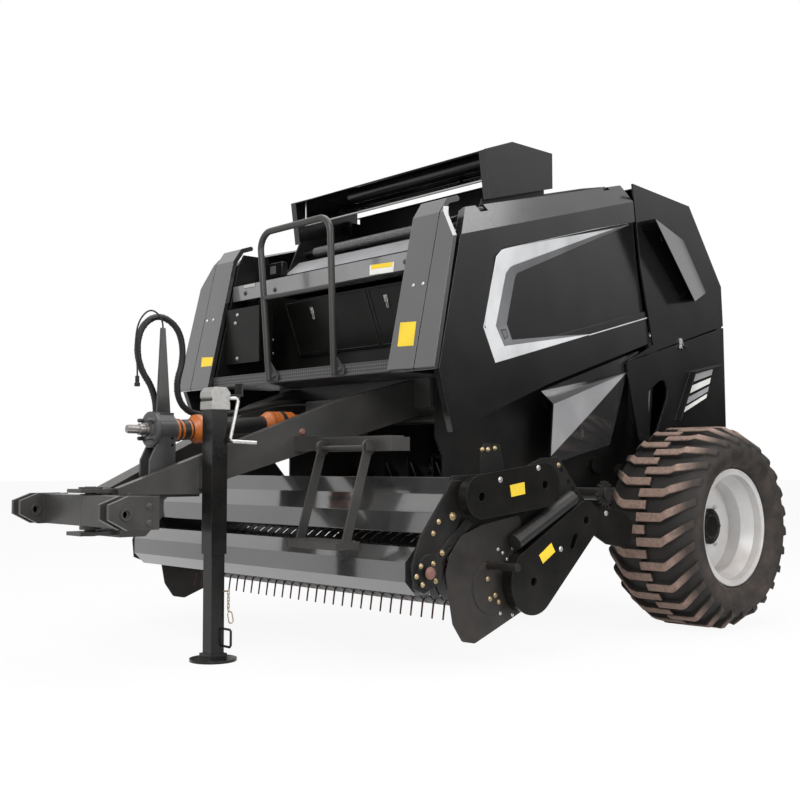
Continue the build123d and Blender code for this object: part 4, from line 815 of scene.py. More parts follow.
class WheelDress:
    """The nuts, hub cap and valve of one wheel."""

    disc_x: float = 1.157
    nut_circle: float = 0.1375
    nuts: int = 8
    cap_bolt_circle: float = 0.07788
    cap_bolts: int = 6
    valve_drop: float = 0.210
    lip_sides: int = 72
    lip_line: tuple[Side, ...] = ((0.2100, 0.296), (0.2165, 0.297), (0.2180, 0.301), (0.2160, 0.3085),
                                  (0.2080, 0.3105), (0.2070, 0.300))

    def __init__(self, side: int) -> None:
        self.side = side
        self.word = "left" if side > 0 else "right"

    def build(self) -> None:
        """Builds the wheel's small parts."""
        body = f"wheel_{self.word}"
        out = (self.side, 0.0, 0.0)
        nuts = Piece(f"wheel_nuts_{self.word}", body, ZINC)
        for k in range(self.nuts):
            nuts.bolt(self.on_disc(0.0, self.nut_circle, math.tau * k / self.nuts), out, 0.013, Head.NUT)
        nuts.finish_up()
        cap = Piece(f"hub_cap_{self.word}", body, GLOSS_BLACK)
        cap.lathe(self.on_disc(-0.001, 0.0, 0.0), out,
                  [(0, 0.0965), (0.0385, 0.0965), (0.042, 0.092), (0.043, 0.062), (0.052, 0.057)], 32)
        for k in range(self.cap_bolts):
            turn = math.tau * k / self.cap_bolts
            cap.bolt(self.on_disc(0.042, self.cap_bolt_circle, turn), out, 0.008, Head.HEX)
        cap.finish_up()
        valve = Piece(f"wheel_valve_{self.word}", body, BLACK_RUBBER)
        valve.lathe(self.on_disc(-0.002, self.valve_drop, -math.pi / 2), out,
                    [(0, 0.009), (0.006, 0.0085), (0.016, 0.0050), (0.020, 0.0054), (0.028, 0.0054)], 12)
        valve.finish_up()
        lip = Piece(f"rim_lip_{self.word}", body, RIM_SILVER)
        angles = [math.tau * k / self.lip_sides for k in range(self.lip_sides)]
        lip.skin([[at(*self.on_disc(WHEEL_X - self.disc_x + off, reach, turn)) for turn in angles]
                  for off, reach in self.lip_line], closed=True)
        lip.finish_up()

    def on_disc(self, out: float, radius: float, turn: float) -> Point:
        """A place measured from the middle of the wheel's disc.

        Args:
            out: metres outward from the disc's face.
            radius: metres from the axle.
            turn: the angle round the axle, in radians.

        Returns:
            The place in the machine's frame.
        """
        across, up = on_circle(radius, turn)
        return self.side * (self.disc_x + out), across, WHEEL_Z + up


def door_surface_x(y: float) -> float:
    """The half width of the door's flat side at a place along the machine.

    Args:
        y: metres behind the axle.

    Returns:
        Metres from the machine's middle.
    """
    return 1.055 - 0.1308 * (y + 1.93)


class DoorTrim:
    """The silver and grey strips that slope down into a side door's recess, and a dark strip of painted
    shadow under the crease above them.
    """

    outer_line: list[Side] = [(-0.187, 2.214), (-0.555, 2.121), (-1.372, 1.896), (-1.413, 1.882),
                              (-1.458, 1.844), (-1.563, 1.499), (-1.470, 1.340), (-0.984, 1.459),
                              (-0.625, 1.547)]
    middle_line: list[Side] = [(-0.175, 2.212), (-0.545, 2.088), (-1.310, 1.822), (-1.338, 1.808),
                               (-1.370, 1.777), (-1.455, 1.517), (-1.398, 1.425), (-0.984, 1.492),
                               (-0.625, 1.550)]
    inner_line: list[Side] = [(-0.170, 2.206), (-0.560, 2.060), (-1.250, 1.798), (-1.272, 1.788),
                              (-1.289, 1.763), (-1.359, 1.536), (-1.315, 1.463), (-0.984, 1.507),
                              (-0.640, 1.549)]
    ledge: tuple[Side, Side] = ((-0.625, 1.549), (0.006, 1.703))
    # Where the dark strip of painted shadow under the upper crease lies, as (y, z).
    crease_shadow_line: tuple[Side, Side] = ((-1.405, 1.893), (-0.175, 2.219))
    recess: float = 0.014
    step: float = 0.008
    proud: float = 0.0006

    def __init__(self, side: int) -> None:
        self.side = side
        self.word = "left" if side > 0 else "right"
        self.body = "door_l" if side > 0 else "door_r"

    def points(self, line: list[Side] | tuple[Side, Side], depth: float,
               flat_from: int = 99) -> list[Point]:
        """Places a line on the door.

        Args:
            line: its points as (y, z).
            depth: metres below the door's outer face.
            flat_from: the first point that lies on the outer face itself, as do all after it.

        Returns:
            The line's points in the machine's frame.
        """
        depths = [depth if k < flat_from else -self.proud for k in range(len(line))]
        return [(self.side * (door_surface_x(y) - low), y, z) for (y, z), low in zip(line, depths)]

    def build(self) -> None:
        """Builds the trim of one door."""
        inward = (-self.side * 0.002, 0, 0)
        silver = Piece(f"door_silver_strip_{self.word}", self.body, SILVER_TRIM)
        silver.ribbon(self.points(self.outer_line, 0.0, 0), self.points(self.middle_line, self.step, 6),
                      inward)
        silver.finish_up()
        grey = Piece(f"door_grey_strip_{self.word}", self.body, GREY_TRIM)
        floor = self.recess - 0.0005
        grey.ribbon(self.points(self.middle_line, self.step, 6), self.points(self.inner_line, floor, 7),
                    inward)
        grey.finish_up()
        ledge = Piece(f"door_ledge_{self.word}", self.body, SILVER_TRIM)
        low = [(y, z - 0.006) for y, z in self.ledge]
        ledge.ribbon(self.points(self.ledge, 0.0, 0), self.points(low, 0.0, 0), inward)
        ledge.finish_up()
        # Painted shadow: a dark strip along the silver's top edge, where the crease above overhangs.
        crease_shadow_line = Piece(f"door_crease_shadow_strip_{self.word}", self.body, PAINTED_SHADE_BLACK)
        low = [(y, z - 0.007) for y, z in self.crease_shadow_line]
        crease_shadow_line.ribbon(self.points(self.crease_shadow_line, -0.0004), self.points(low, -0.0004), inward)
        crease_shadow_line.finish_up()


@dataclass(frozen=True)
class Plate:
    """A blank sticker or thin plate with four corners, and a coloured part if it has one."""

    name: str
    body: str
    finish: Finish
    corners: tuple[Point, Point, Point, Point]
    push: Point
    accent: Finish | None = None
    accent_share: float = 0.4

    def build(self) -> None:
        """Builds the plate, with its accent a hair above it."""
        plate = Piece(self.name, self.body, self.finish)
        plate.prism(list(self.corners), self.push)
        plate.finish_up()
        if self.accent:
            top_a, top_b, low_b, low_a = (Vector(c) for c in self.corners)
            lift = Vector(self.push)
            inset = [top_a.lerp(top_b, 0.06), top_a.lerp(top_b, 0.94), top_b.lerp(low_b, self.accent_share),
                     top_a.lerp(low_a, self.accent_share)]
            inset[2], inset[3] = inset[3].lerp(inset[2], 0.94), inset[3].lerp(inset[2], 0.06)
            mark = Piece(f"{self.name}_mark", self.body, self.accent)
            mark.prism([tuple(p + lift * 0.9) for p in inset], tuple(lift * 0.4))
            mark.finish_up()


PLATES: tuple[Plate, ...] = (
    Plate("band_sticker_left", "frame", STICKER, ((0.782, -1.876, 1.515), (0.889, -1.876, 1.510),
          (0.897, -1.902, 1.398), (0.791, -1.902, 1.401)), (0, -0.0012, 0.0003)),
    Plate("band_sticker_right", "frame", STICKER, ((-0.865, -1.886, 1.471), (-0.750, -1.886, 1.466),
          (-0.746, -1.898, 1.416), (-0.854, -1.898, 1.416)), (0, -0.0012, 0.0003)),
    Plate("beam_label", "frame", STICKER_WHITE, ((0.435, -1.760, 1.840), (0.612, -1.760, 1.833),
          (0.606, -1.760, 1.785), (0.432, -1.760, 1.791)), (0, -0.0012, 0), STICKER, 0.45),
    Plate("upper_case_sticker", "pickup", STICKER, ((1.242, -1.650, 0.775), (1.242, -1.554, 0.789),
          (1.242, -1.549, 0.736), (1.242, -1.640, 0.724)), (0.0012, 0, 0)),
    Plate("lower_case_sticker", "pickup", STICKER, ((1.242, -1.459, 0.461), (1.242, -1.374, 0.512),
          (1.242, -1.347, 0.471), (1.242, -1.433, 0.422)), (0.0012, 0, 0)),
    Plate("beam_bright_plate", "frame", ZINC, ((-0.635, -1.7605, 1.868), (-0.529, -1.7605, 1.868),
          (-0.529, -1.7605, 1.850), (-0.635, -1.7605, 1.850)), (0, -0.004, 0)),
    # Painted highlight: the upper field of each apron is painted pale.
    Plate("apron_painted_highlight_left", "frame", PALE_GREY_AND_HIGHLIGHT, ((0.780, -0.796, 1.181), (0.780, -0.159, 1.383),
          (0.780, -0.500, 1.136), (0.780, -0.820, 0.911)), (0.0012, 0, 0)),
    Plate("apron_painted_highlight_right", "frame", PALE_GREY_AND_HIGHLIGHT, ((-0.780, -0.796, 1.181), (-0.780, -0.159, 1.383),
          (-0.780, -0.500, 1.136), (-0.780, -0.820, 0.911)), (-0.0012, 0, 0)),
)


class Cords:
    """The hose bundle and the thin cable, as splines along the source's own route points."""

    hose_route: list[Point] = [
        (-0.070, -2.640, 1.106), (-0.070, -2.640, 1.200), (-0.068, -2.742, 1.330), (-0.066, -2.740, 1.490),
        (-0.068, -2.640, 1.575), (-0.072, -2.520, 1.520), (-0.080, -2.485, 1.380), (-0.086, -2.530, 1.235),
        (-0.092, -2.480, 1.125), (-0.100, -2.340, 1.100), (-0.130, -2.085, 1.135), (-0.200, -1.800, 1.200),
        (-0.200, -1.530, 1.200)]
    hose_width: float = 0.030
    hose_length: float = 2.015
    cable_route: list[Point] = [
        (-0.010, -2.643, 1.500), (-0.010, -2.643, 1.545), (-0.022, -2.700, 1.590), (-0.036, -2.752, 1.535),
        (-0.040, -2.770, 1.440), (-0.040, -2.756, 1.345), (-0.040, -2.756, 1.275)]
    cable_width: float = 0.008
    cable_length: float = 0.441
    wrap_pitch: float = 0.016

    def build(self) -> None:
        """Builds both cords and what lies on them."""
        hose = self.spline("hose_bundle_line", self.hose_route)
        wrap = self.wrap(hose)
        self.thicken(hose, self.hose_width)
        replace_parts(hose, "hose_bundle")
        cable = self.spline("control_cable_line", self.cable_route)
        self.thicken(cable, self.cable_width)
        plug = self.plug()
        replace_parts(cable, "control_cable")
        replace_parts(plug, "cable_plug")

    def spline(self, name: str, route: list[Point]) -> bpy.types.Object:
        """Lays a smooth line along a route.

        Args:
            name: the piece's name.
            route: its control points in the machine's frame.

        Returns:
            The curve object, still without thickness.
        """
        data = bpy.data.curves.new(name, "CURVE")
        data.dimensions = "3D"
        data.resolution_u = 16
        line = data.splines.new("NURBS")
        line.points.add(len(route) - 1)
        for point, place in zip(line.points, route):
            point.co = (*at(*place), 1.0)
        line.order_u = 3
        line.use_endpoint_u = True
        made = bpy.data.objects.new(name, data)
        bpy.context.scene.collection.objects.link(made)
        return made

    @staticmethod
    def thicken(cord: bpy.types.Object, width: float) -> None:
        """Gives a line its round section and finish.

        Args:
            cord: the curve object.
            width: its diameter in metres.
        """
        cord.data.bevel_depth = width / 2
        cord.data.bevel_resolution = 5
        cord.data.use_fill_caps = True
        cord.data.materials.append(BLACK_RUBBER.material())
        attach(cord, "frame")
        LOG.info("cord %s", cord.name)

    def wrap(self, hose: bpy.types.Object) -> bpy.types.Object:
        """Winds the spiral guard round the hoses.

        Args:
            hose: the hose line, still without thickness.

        Returns:
            The guard.
        """
        bpy.context.view_layer.update()
        line = bpy.data.meshes.new_from_object(hose)
        points = [v.co.copy() for v in line.vertices]
        bpy.data.meshes.remove(line)
        guard = Piece("hose_spiral_guard", "frame", BLACK_RUBBER)
        coil = []
        side = Vector((1, 0, 0))
        travelled = 0.0
        for low, high in zip(points, points[1:]):
            ahead = (high - low).normalized()
            side = (side - ahead * side.dot(ahead)).normalized()
            up = ahead.cross(side)
            steps = max(1, round((high - low).length / 0.002))
            for k in range(steps):
                travelled += (high - low).length / steps
                turn = math.tau * travelled / self.wrap_pitch
                middle = low.lerp(high, k / steps)
                coil.append(middle + (side * math.cos(turn) + up * math.sin(turn)) * self.hose_width / 2)
        guard.tube([(p.x, p.y - AXLE_Y, p.z) for p in coil[::2]], 0.0026, 5)
        return guard.finish_up()

    def plug(self) -> bpy.types.Object:
        """The round plug with its ribbed grip and locking collar.

        Returns:
            The plug.
        """
        plug = Piece("cable_plug_body", "frame", BLACK_RUBBER)
        profile = [(0.0, 0.0055), (0.003, 0.0095)]
        for k in range(5):
            low = 0.005 + k * 0.0052
            profile += [(low, 0.0100), (low + 0.0030, 0.0100)]
            profile += [(low + 0.0034, 0.0086), (low + 0.0048, 0.0086)]
        profile += [(0.0330, 0.0100), (0.0334, 0.0130), (0.0480, 0.0130), (0.0500, 0.0118)]
        plug.lathe(self.cable_route[-1], (0, 0, -1), profile, 20)
        return plug.finish_up()


class JackDress:
    """The bright winding-head cover, crank, chain, clip and lifting handle of the parking jack."""

    middle: Side = (0.275, -2.540)
    cover_half: float = 0.0475
    cover_line: tuple[Side, ...] = ((0.049, 1.112), (0.049, 1.146), (0.045, 1.151), (0.045, 1.160),
                                    (0.050, 1.166), (0.050, 1.190), (0.044, 1.197), (0.030, 1.213))
    crank_radius: float = 0.0084
    chain_top: Point = (0.329, -2.498, 0.300)
    chain_links: int = 6
    chain_pitch: float = 0.0145
    handle_line: tuple[Side, ...] = ((0.300, 0.138), (0.345, 0.138), (0.353, 0.132), (0.353, 0.070),
                                     (0.345, 0.062), (0.300, 0.062))
    handle_y: float = -2.500

    def build(self) -> None:
        """Builds the jack's small parts."""
        self.cover()
        crank = Piece("jack_crank_tube", "frame", ZINC)
        crank.tube(self.crank_line(), self.crank_radius, 12)
        crank.finish_up()
        self.chain()
        handle = Piece("jack_foot_handle", "jack", GLOSS_BLACK)
        handle.tube([(x, self.handle_y, z) for x, z in self.handle_line], 0.0055, 10)
        handle.finish_up()

    def cover(self) -> None:
        """The folded cover over the winding head, alike at its front and its rear."""
        x, y = self.middle
        line = [(-across, up) for across, up in self.cover_line] + list(reversed(self.cover_line))
        cover = Piece("jack_head_cover", "frame", COVER_ZINC)
        cover.prism([(x - self.cover_half, y + across, up) for across, up in line],
                    (2 * self.cover_half, 0, 0))
        cover.finish_up(0.002)

    def chain(self) -> None:
        """The locking pin's stub, its chain and the wire clip at the chain's end."""
        x, y, z = self.chain_top
        chain = Piece("jack_pin_chain", "jack", GOLD_ZINC)
        for k in range(self.chain_links):
            across = (1, 0, 0) if k % 2 else (0, 0.995, 0.1)
            chain.link((x, y, z - k * self.chain_pitch), (0, 0.1, -0.995), across, 0.021, 0.011, 0.0019)
        chain.link((0.331, -2.488, 0.190), (0, 0.2, -0.98), (0, 0.98, 0.2), 0.052, 0.024, 0.0026)
        chain.tube([(0.300, -2.512, 0.306), (0.329, -2.499, 0.306)], 0.0035, 8)
        chain.finish_up()

    @staticmethod
    def crank_line() -> list[Point]:
        """The crank's middle line, its corners rounded.

        Returns:
            Points in the machine's frame.
        """
        corners = [Vector((0.305, -2.500, 1.165)), Vector((0.335, -2.454, 1.165)),
                   Vector((0.335, -2.500, 0.972)), Vector((0.385, -2.390, 0.965))]
        line = [corners[0]]
        for before, corner, after in zip(corners, corners[1:], corners[2:]):
            low = corner + (before - corner).normalized() * 0.014
            high = corner + (after - corner).normalized() * 0.014
            for k in range(5):
                t = k / 4
                line.append(low.lerp(corner, t).lerp(corner.lerp(high, t), t))
        line.append(corners[-1])
        return [tuple(p) for p in line]


class HitchDress:
    """The studs, splines and rings of the hitch and the drive line."""

    pto_z: float = 1.028
    guard_front: float = -2.560
    rise: float = math.tan(math.radians(4.3))
    studs: int = 4
    stud_circle: float = 0.058
    teeth: int = 8
    tooth_line: tuple[Side, ...] = ((0.00, 0.0176), (0.12, 0.0205), (0.38, 0.0205), (0.50, 0.0176),
                                    (0.75, 0.0176))
    bands: tuple[tuple[float, float, float], ...] = (
        (-2.576, 0.0525, 0.010), (-2.548, 0.0470, 0.030), (-2.507, 0.0475, 0.006), (-2.449, 0.0686, 0.012),
        (-2.100, 0.0415, 0.020), (-1.990, 0.0615, 0.022))
    tube_front: float = -2.4145
    ear_x: tuple[Side, ...] = ((0.460, 1), (-0.365, 1), (0.365, -1), (-0.460, -1))

    def build(self) -> None:
        """Builds the small parts of the hitch and the drive line."""
        self.adapter()
        self.splines()
        self.guard()
        rings = Piece("ear_rings", "hitch", FRAME_GREY)
        for x, out in self.ear_x:
            rings.skin(self.ring((x - out * 0.001, -3.0805, 0.665), out, 0.0165, 0.027, 0.007))
        rings.finish_up()

    def adapter(self) -> None:
        """The studs and the stepped ring on the shaft adapter's face."""
        studs = Piece("adapter_studs", "frame", CAST_BLACK)
        for k in range(self.studs):
            across, up = on_circle(self.stud_circle, math.radians(45) + math.tau * k / self.studs)
            studs.lathe((across, -2.712, self.pto_z + up), (0, -1, 0),
                        [(-0.001, 0.014), (0.006, 0.014), (0.009, 0.0095), (0.034, 0.0095), (0.038, 0.006)],
                        14)
        studs.lathe((0, -2.711, self.pto_z), (0, -1, 0),
                    [(0, 0.078), (0.004, 0.074), (0.005, 0.046), (0.012, 0.044), (0.014, 0.036)], 32)
        studs.finish_up()

    def splines(self) -> None:
        """The splined sleeve and the collar on the input shaft."""
        spline = Piece("input_shaft_splines", "pto", BARE_STEEL)
        rows = []
        for y, grow in ((-2.826, -0.002), (-2.822, 0.0), (-2.770, 0.0), (-2.742, 0.0)):
            row = []
            for k in range(self.teeth):
                for part, reach in self.tooth_line:
                    across, up = on_circle(reach + grow, math.tau * (k + part) / self.teeth)
                    row.append(at(across, y, self.pto_z + up))
            rows.append(row)
        spline.skin(rows)
        spline.lathe((0, -2.770, self.pto_z), (0, 1, 0), [(0, 0.0235), (0.002, 0.026), (0.028, 0.026)], 24)
        spline.finish_up()

    def guard(self) -> None:
        """The clamp bands and the black tube between the guard's bells."""
        along = (0, 1, self.rise)
        bands = Piece("guard_clamp_bands", "frame", BLACK_RUBBER)
        for y, low, wide in self.bands:
            bands.lathe(self.on_guard(y), along,
                        [(0, low), (0.001, low + 0.0012), (wide, low + 0.0012), (wide + 0.001, low)], 32)
        bands.finish_up()
        tube = Piece("guard_black_tube", "frame", BLACK_RUBBER)
        tube.lathe(self.on_guard(self.tube_front), along,
                   [(0, 0.0406), (0.0, 0.0408), (0.326, 0.0408), (0.328, 0.0402)], 32)
        tube.finish_up()

    def on_guard(self, y: float) -> Point:
        """A place on the rising axis of the drive line's guard.

        Args:
            y: metres behind the axle.

        Returns:
            The place in the machine's frame.
        """
        return 0, y, self.pto_z + (y - self.guard_front) * self.rise

    @staticmethod
    def ring(middle: Point, out: int, bore: float, outer: float, height: float) -> list[Row]:
        """A flat ring standing on a side face.

        Args:
            middle: its centre in the machine's frame.
            out: 1 if it faces left and -1 if it faces right.
            bore: its hole's radius.
            outer: its outer radius.
            height: how far it stands up.

        Returns:
            Rows of points for a closed skin.
        """
        x, y, z = middle
        rows = []
        for reach, lift in ((bore, 0.0), (outer, 0.0), (outer - 0.001, height), (bore, height)):
            circle = [on_circle(reach, math.tau * k / 28) for k in range(28)]
            rows.append([at(x + out * lift, y + across, z + up) for across, up in circle])
        rows.append(rows[0])
        return rows


class FrontDress:
    """Latches, treads, the feed sleeve and the other small things on the front and on the tailgate."""

    locker_latches: tuple[tuple[str, float], ...] = (("right", -0.208), ("left", 0.389))
    cover_x: float = 0.816
    scoop_mouth: tuple[Side, ...] = ((-0.060, 2.205), (0.330, 2.180), (0.480, 1.930), (0.330, 1.830),
                                     # Section of the dark blocks of painted shade behind the gaps, as (x,
                                     # y).
                                     (0.020, 2.030))
    gap_shade_section: tuple[Side, ...] = ((0.783, 0.040), (0.787, 0.040), (0.8035, 0.060), (0.8035, 0.100),
                                      (0.783, 0.100))
    tooth: Side = (0.009, 0.007)
    net_half: float = 0.735
    rod_half: float = 0.728
    locker_doors: tuple[Side, ...] = ((-0.416, 0.252), (0.278, 0.690))

    def build(self) -> None:
        """Builds the small parts of the front and the tailgate."""
        self.latches()
        for side, word in ((1, "left"), (-1, "right")):
            self.tailgate_latch(side, word)
            self.shades(side, word)
        self.teeth("ladder_step_teeth", "ladder_body", 20, 0.597, 0.0155, (-2.350, -2.318, -2.286, -2.254),
                   0.5395)
        self.teeth("step_box_teeth", "frame", 32, 0.507, 0.0157, (-2.132, -2.100, -2.068), 0.9845)
        self.net()
        self.lid()
        self.locker()

    def latches(self) -> None:
        """Sprung latches with hanging pins on the locker."""
        for word, x in self.locker_latches:
            latch = Piece(f"locker_latch_{word}", "frame", ZINC)
            low, high = x - 0.013, x + 0.013
            latch.prism([(low, -1.6165, 1.716), (high, -1.6165, 1.716), (high, -1.605, 1.684),
                         (low, -1.605, 1.684)], (0, -0.006, -0.002))
            latch.bolt((x, -1.619, 1.700), (0, -0.94, -0.35), 0.009, Head.DOME)
            latch.link((x + 0.006, -1.612, 1.672), (0.1, 0.2, -0.97), (1, 0, 0), 0.046, 0.012, 0.0018)
            latch.finish_up()

    def tailgate_latch(self, side: int, word: str) -> None:
        """The latch plate with two hanging pins on one side of the tailgate.

        Args:
            side: 1 for the left and -1 for the right.
            word: the side's name.
        """
        latch = Piece(f"tailgate_latch_pins_{word}", "tailgate", ZINC)
        x = side * self.cover_x
        outer = x + side * 0.006
        latch.box((min(x, outer), 0.300, 1.560), (max(x, outer), 0.322, 1.604))
        latch.bolt((outer, 0.311, 1.592), (side, 0, 0), 0.010, Head.DOME)
        for lift, y, z, lean, length, width in ((0.011, 0.318, 1.570, 0.34, 0.060, 0.016),
                                                (0.009, 0.305, 1.566, -0.30, 0.050, 0.012)):
            fall = 0.94 if lean > 0 else 0.95
            latch.link((x + side * lift, y, z), (0, lean, -fall), (0, fall, lean), length, width, 0.0022)
        latch.finish_up()

    def shades(self, side: int, word: str) -> None:
        """Painted shade: a dark plate behind the side scoop, and dark rubber blocks behind the gaps beside
        the tailgate's covers.

        Args:
            side: 1 for the left and -1 for the right.
            word: the side's name.
        """
        shade = Piece(f"scoop_shade_{word}", "tailgate", PAINTED_SHADE_BLACK)
        shade.prism([(side * 0.7955, y, z) for y, z in self.scoop_mouth], (side * 0.002, 0, 0))
        shade.finish_up()
        # Painted shade: dark blocks behind the gaps beside the covers.
        dark_block = Piece(f"door_gap_painted_shade_{word}", "tailgate", BLACK_RUBBER)
        dark_block.prism([(side * x, y, 1.440) for x, y in self.gap_shade_section], (0, 0, 0.160))
        low, high = sorted((side * 0.797, side * 0.8035))
        dark_block.box((low, 0.700, 1.690), (high, 0.776, 1.722))
        dark_block.finish_up()

    def teeth(self, name: str, body: str, count: int, first: float, pitch: float, rows: tuple[float, ...],
              top: float) -> None:
        """Adds the gripping teeth of a step.

        Args:
            name: the piece's name.
            body: the body that it rides on.
            count: how many teeth a row has.
            first: where the first tooth starts, to the left of the machine's middle.
            pitch: from one tooth to the next.
            rows: where each row starts, behind the axle.
            top: the step's height.
        """
        wide, high = self.tooth
        teeth = Piece(name, body, FRAME_GREY)
        for k in range(count):
            x = first + k * pitch
            for y in rows:
                teeth.prism([(x, y, top), (x + wide, y, top), (x + wide / 2, y, top + high)], (0, 0.010, 0))
        teeth.finish_up()

    def net(self) -> None:
        """The gripping sleeve, the floor strip and the sensor box of the net box."""
        sleeve = Piece("feed_roll_sleeve", "frame", KNURLED)
        sleeve.lathe((-0.640, -1.250, 2.120), (1, 0, 0),
                     [(0, 0.024), (0.001, 0.0262), (1.279, 0.0262), (1.280, 0.024)], 36)
        sleeve.finish_up()
        strip = Piece("net_floor_strip", "frame", PALE_GREY_AND_HIGHLIGHT)
        low, high = -self.net_half, self.net_half
        strip.ribbon([(low, -1.421, 1.9605), (high, -1.421, 1.9605)],
                     [(low, -1.302, 2.0605), (high, -1.302, 2.0605)],
                     (0, -0.0008, 0.001))
        strip.finish_up()
        box = Piece("net_sensor_box", "frame", GLOSS_BLACK)
        box.box((-0.742, -1.520, 1.946), (-0.610, -1.480, 2.030))
        box.finish_up(0.004)
        window = Piece("net_sensor_window", "frame", GREY_TRIM)
        window.box((-0.722, -1.5215, 1.966), (-0.668, -1.520, 2.012))
        window.finish_up()

    def lid(self) -> None:
        """The rod with its two hangers and the stay of the net box's lid."""
        rod = Piece("lid_front_rod", "lid", ZINC)
        y, z = -1.262, 2.290
        rod.tube([(-self.rod_half, y, z), (self.rod_half, y, z)], 0.0065, 12)
        for x in (0.006 - self.rod_half, self.rod_half - 0.006):
            rod.tube([(x, y, z), (x, y, 2.441)], 0.0055, 10)
        rod.finish_up()
        stay = Piece("lid_front_stay", "lid", ZINC)
        stay.tube([(0.770, -1.300, 2.405), (0.770, -1.272, 2.200)], 0.0055, 10)
        stay.finish_up()

    def locker(self) -> None:
        """Raised frames on the locker's two leaning doors."""
        frames = Piece("locker_door_edges", "frame", GLOSS_BLACK)
        rows = ((-1.6365, 1.750), (-1.5355, 1.480))
        for sides in self.locker_doors:
            for y, z in rows:
                frames.tube([(x, y, z) for x in sides], 0.004, 8)
            for x in sides:
                frames.tube([(x, y, z) for y, z in rows], 0.004, 8)
        frames.finish_up()


class ReelBands:
    """The stripper bands that curve round the tined reel, one between each two columns of tines."""

    reel: Side = (-1.700, 0.390)
    reach: float = 0.158
    pitch: float = 0.070
    half_width: float = 0.0305
    columns: int = 30
    thickness: float = 0.002

    def build(self) -> None:
        """Builds every band as one piece on the pickup."""
        bands = Piece("reel_bands", "pickup", FRAME_BLACK)
        y, z = self.reel
        line = [(-1.575, 0.634), (-1.600, 0.600)]
        circle = [on_circle(self.reach, math.radians(a)) for a in range(55, 300, 15)]
        line += [(y + across, z + up) for across, up in circle]
        line.append((-1.560, 0.285))
        for k in range(self.columns):
            middle = (k - (self.columns - 1) / 2) * self.pitch
            rows = []
            for n, place in enumerate(line):
                before, after = line[max(n - 1, 0)], line[min(n + 1, len(line) - 1)]
                along = Vector((0, after[0] - before[0], after[1] - before[1])).normalized()
                outward = Vector((0, along.z, -along.y)) * self.thickness
                low = at(middle - self.half_width, *place)
                high = at(middle + self.half_width, *place)
                rows.append([low, high, high + outward, low + outward])
            bands.skin(rows)
        bands.finish_up()


class LampTray:
    """The slanted light and dark stripes beside each rear lamp."""

    corners: list[Side] = [(0.411, 1.413), (0.713, 1.472), (0.642, 1.286), (0.249, 1.125)]
    stripes: tuple[tuple[float, float, Finish], ...] = (
        (0.08, 0.26, PALE_GREY_AND_HIGHLIGHT), (0.34, 0.52, STICKER_WHITE), (0.60, 0.76, PALE_GREY_AND_HIGHLIGHT),
        (0.82, 0.94, STICKER_WHITE))
    reach: Side = (0.06, 0.80)

    def __init__(self, side: int) -> None:
        self.side = side
        self.word = "left" if side > 0 else "right"

    def build(self) -> None:
        """Builds the stripes of one side."""
        top_a, top_b, low_b, low_a = (Vector(c) for c in self.corners)
        near, far = self.reach
        for number, (start, stop, finish) in enumerate(self.stripes, 1):
            stripe = Piece(f"lamp_tray_stripe_{self.word}_{number}", "tailgate", finish)
            quad = [top_a.lerp(low_a, down).lerp(top_b.lerp(low_b, down), along)
                    for down, along in ((start, near), (start, far), (stop, far), (stop, near))]
            stripe.prism([(self.side * 0.821, p.x, p.y) for p in quad], (self.side * 0.0012, 0, 0))
            stripe.finish_up()


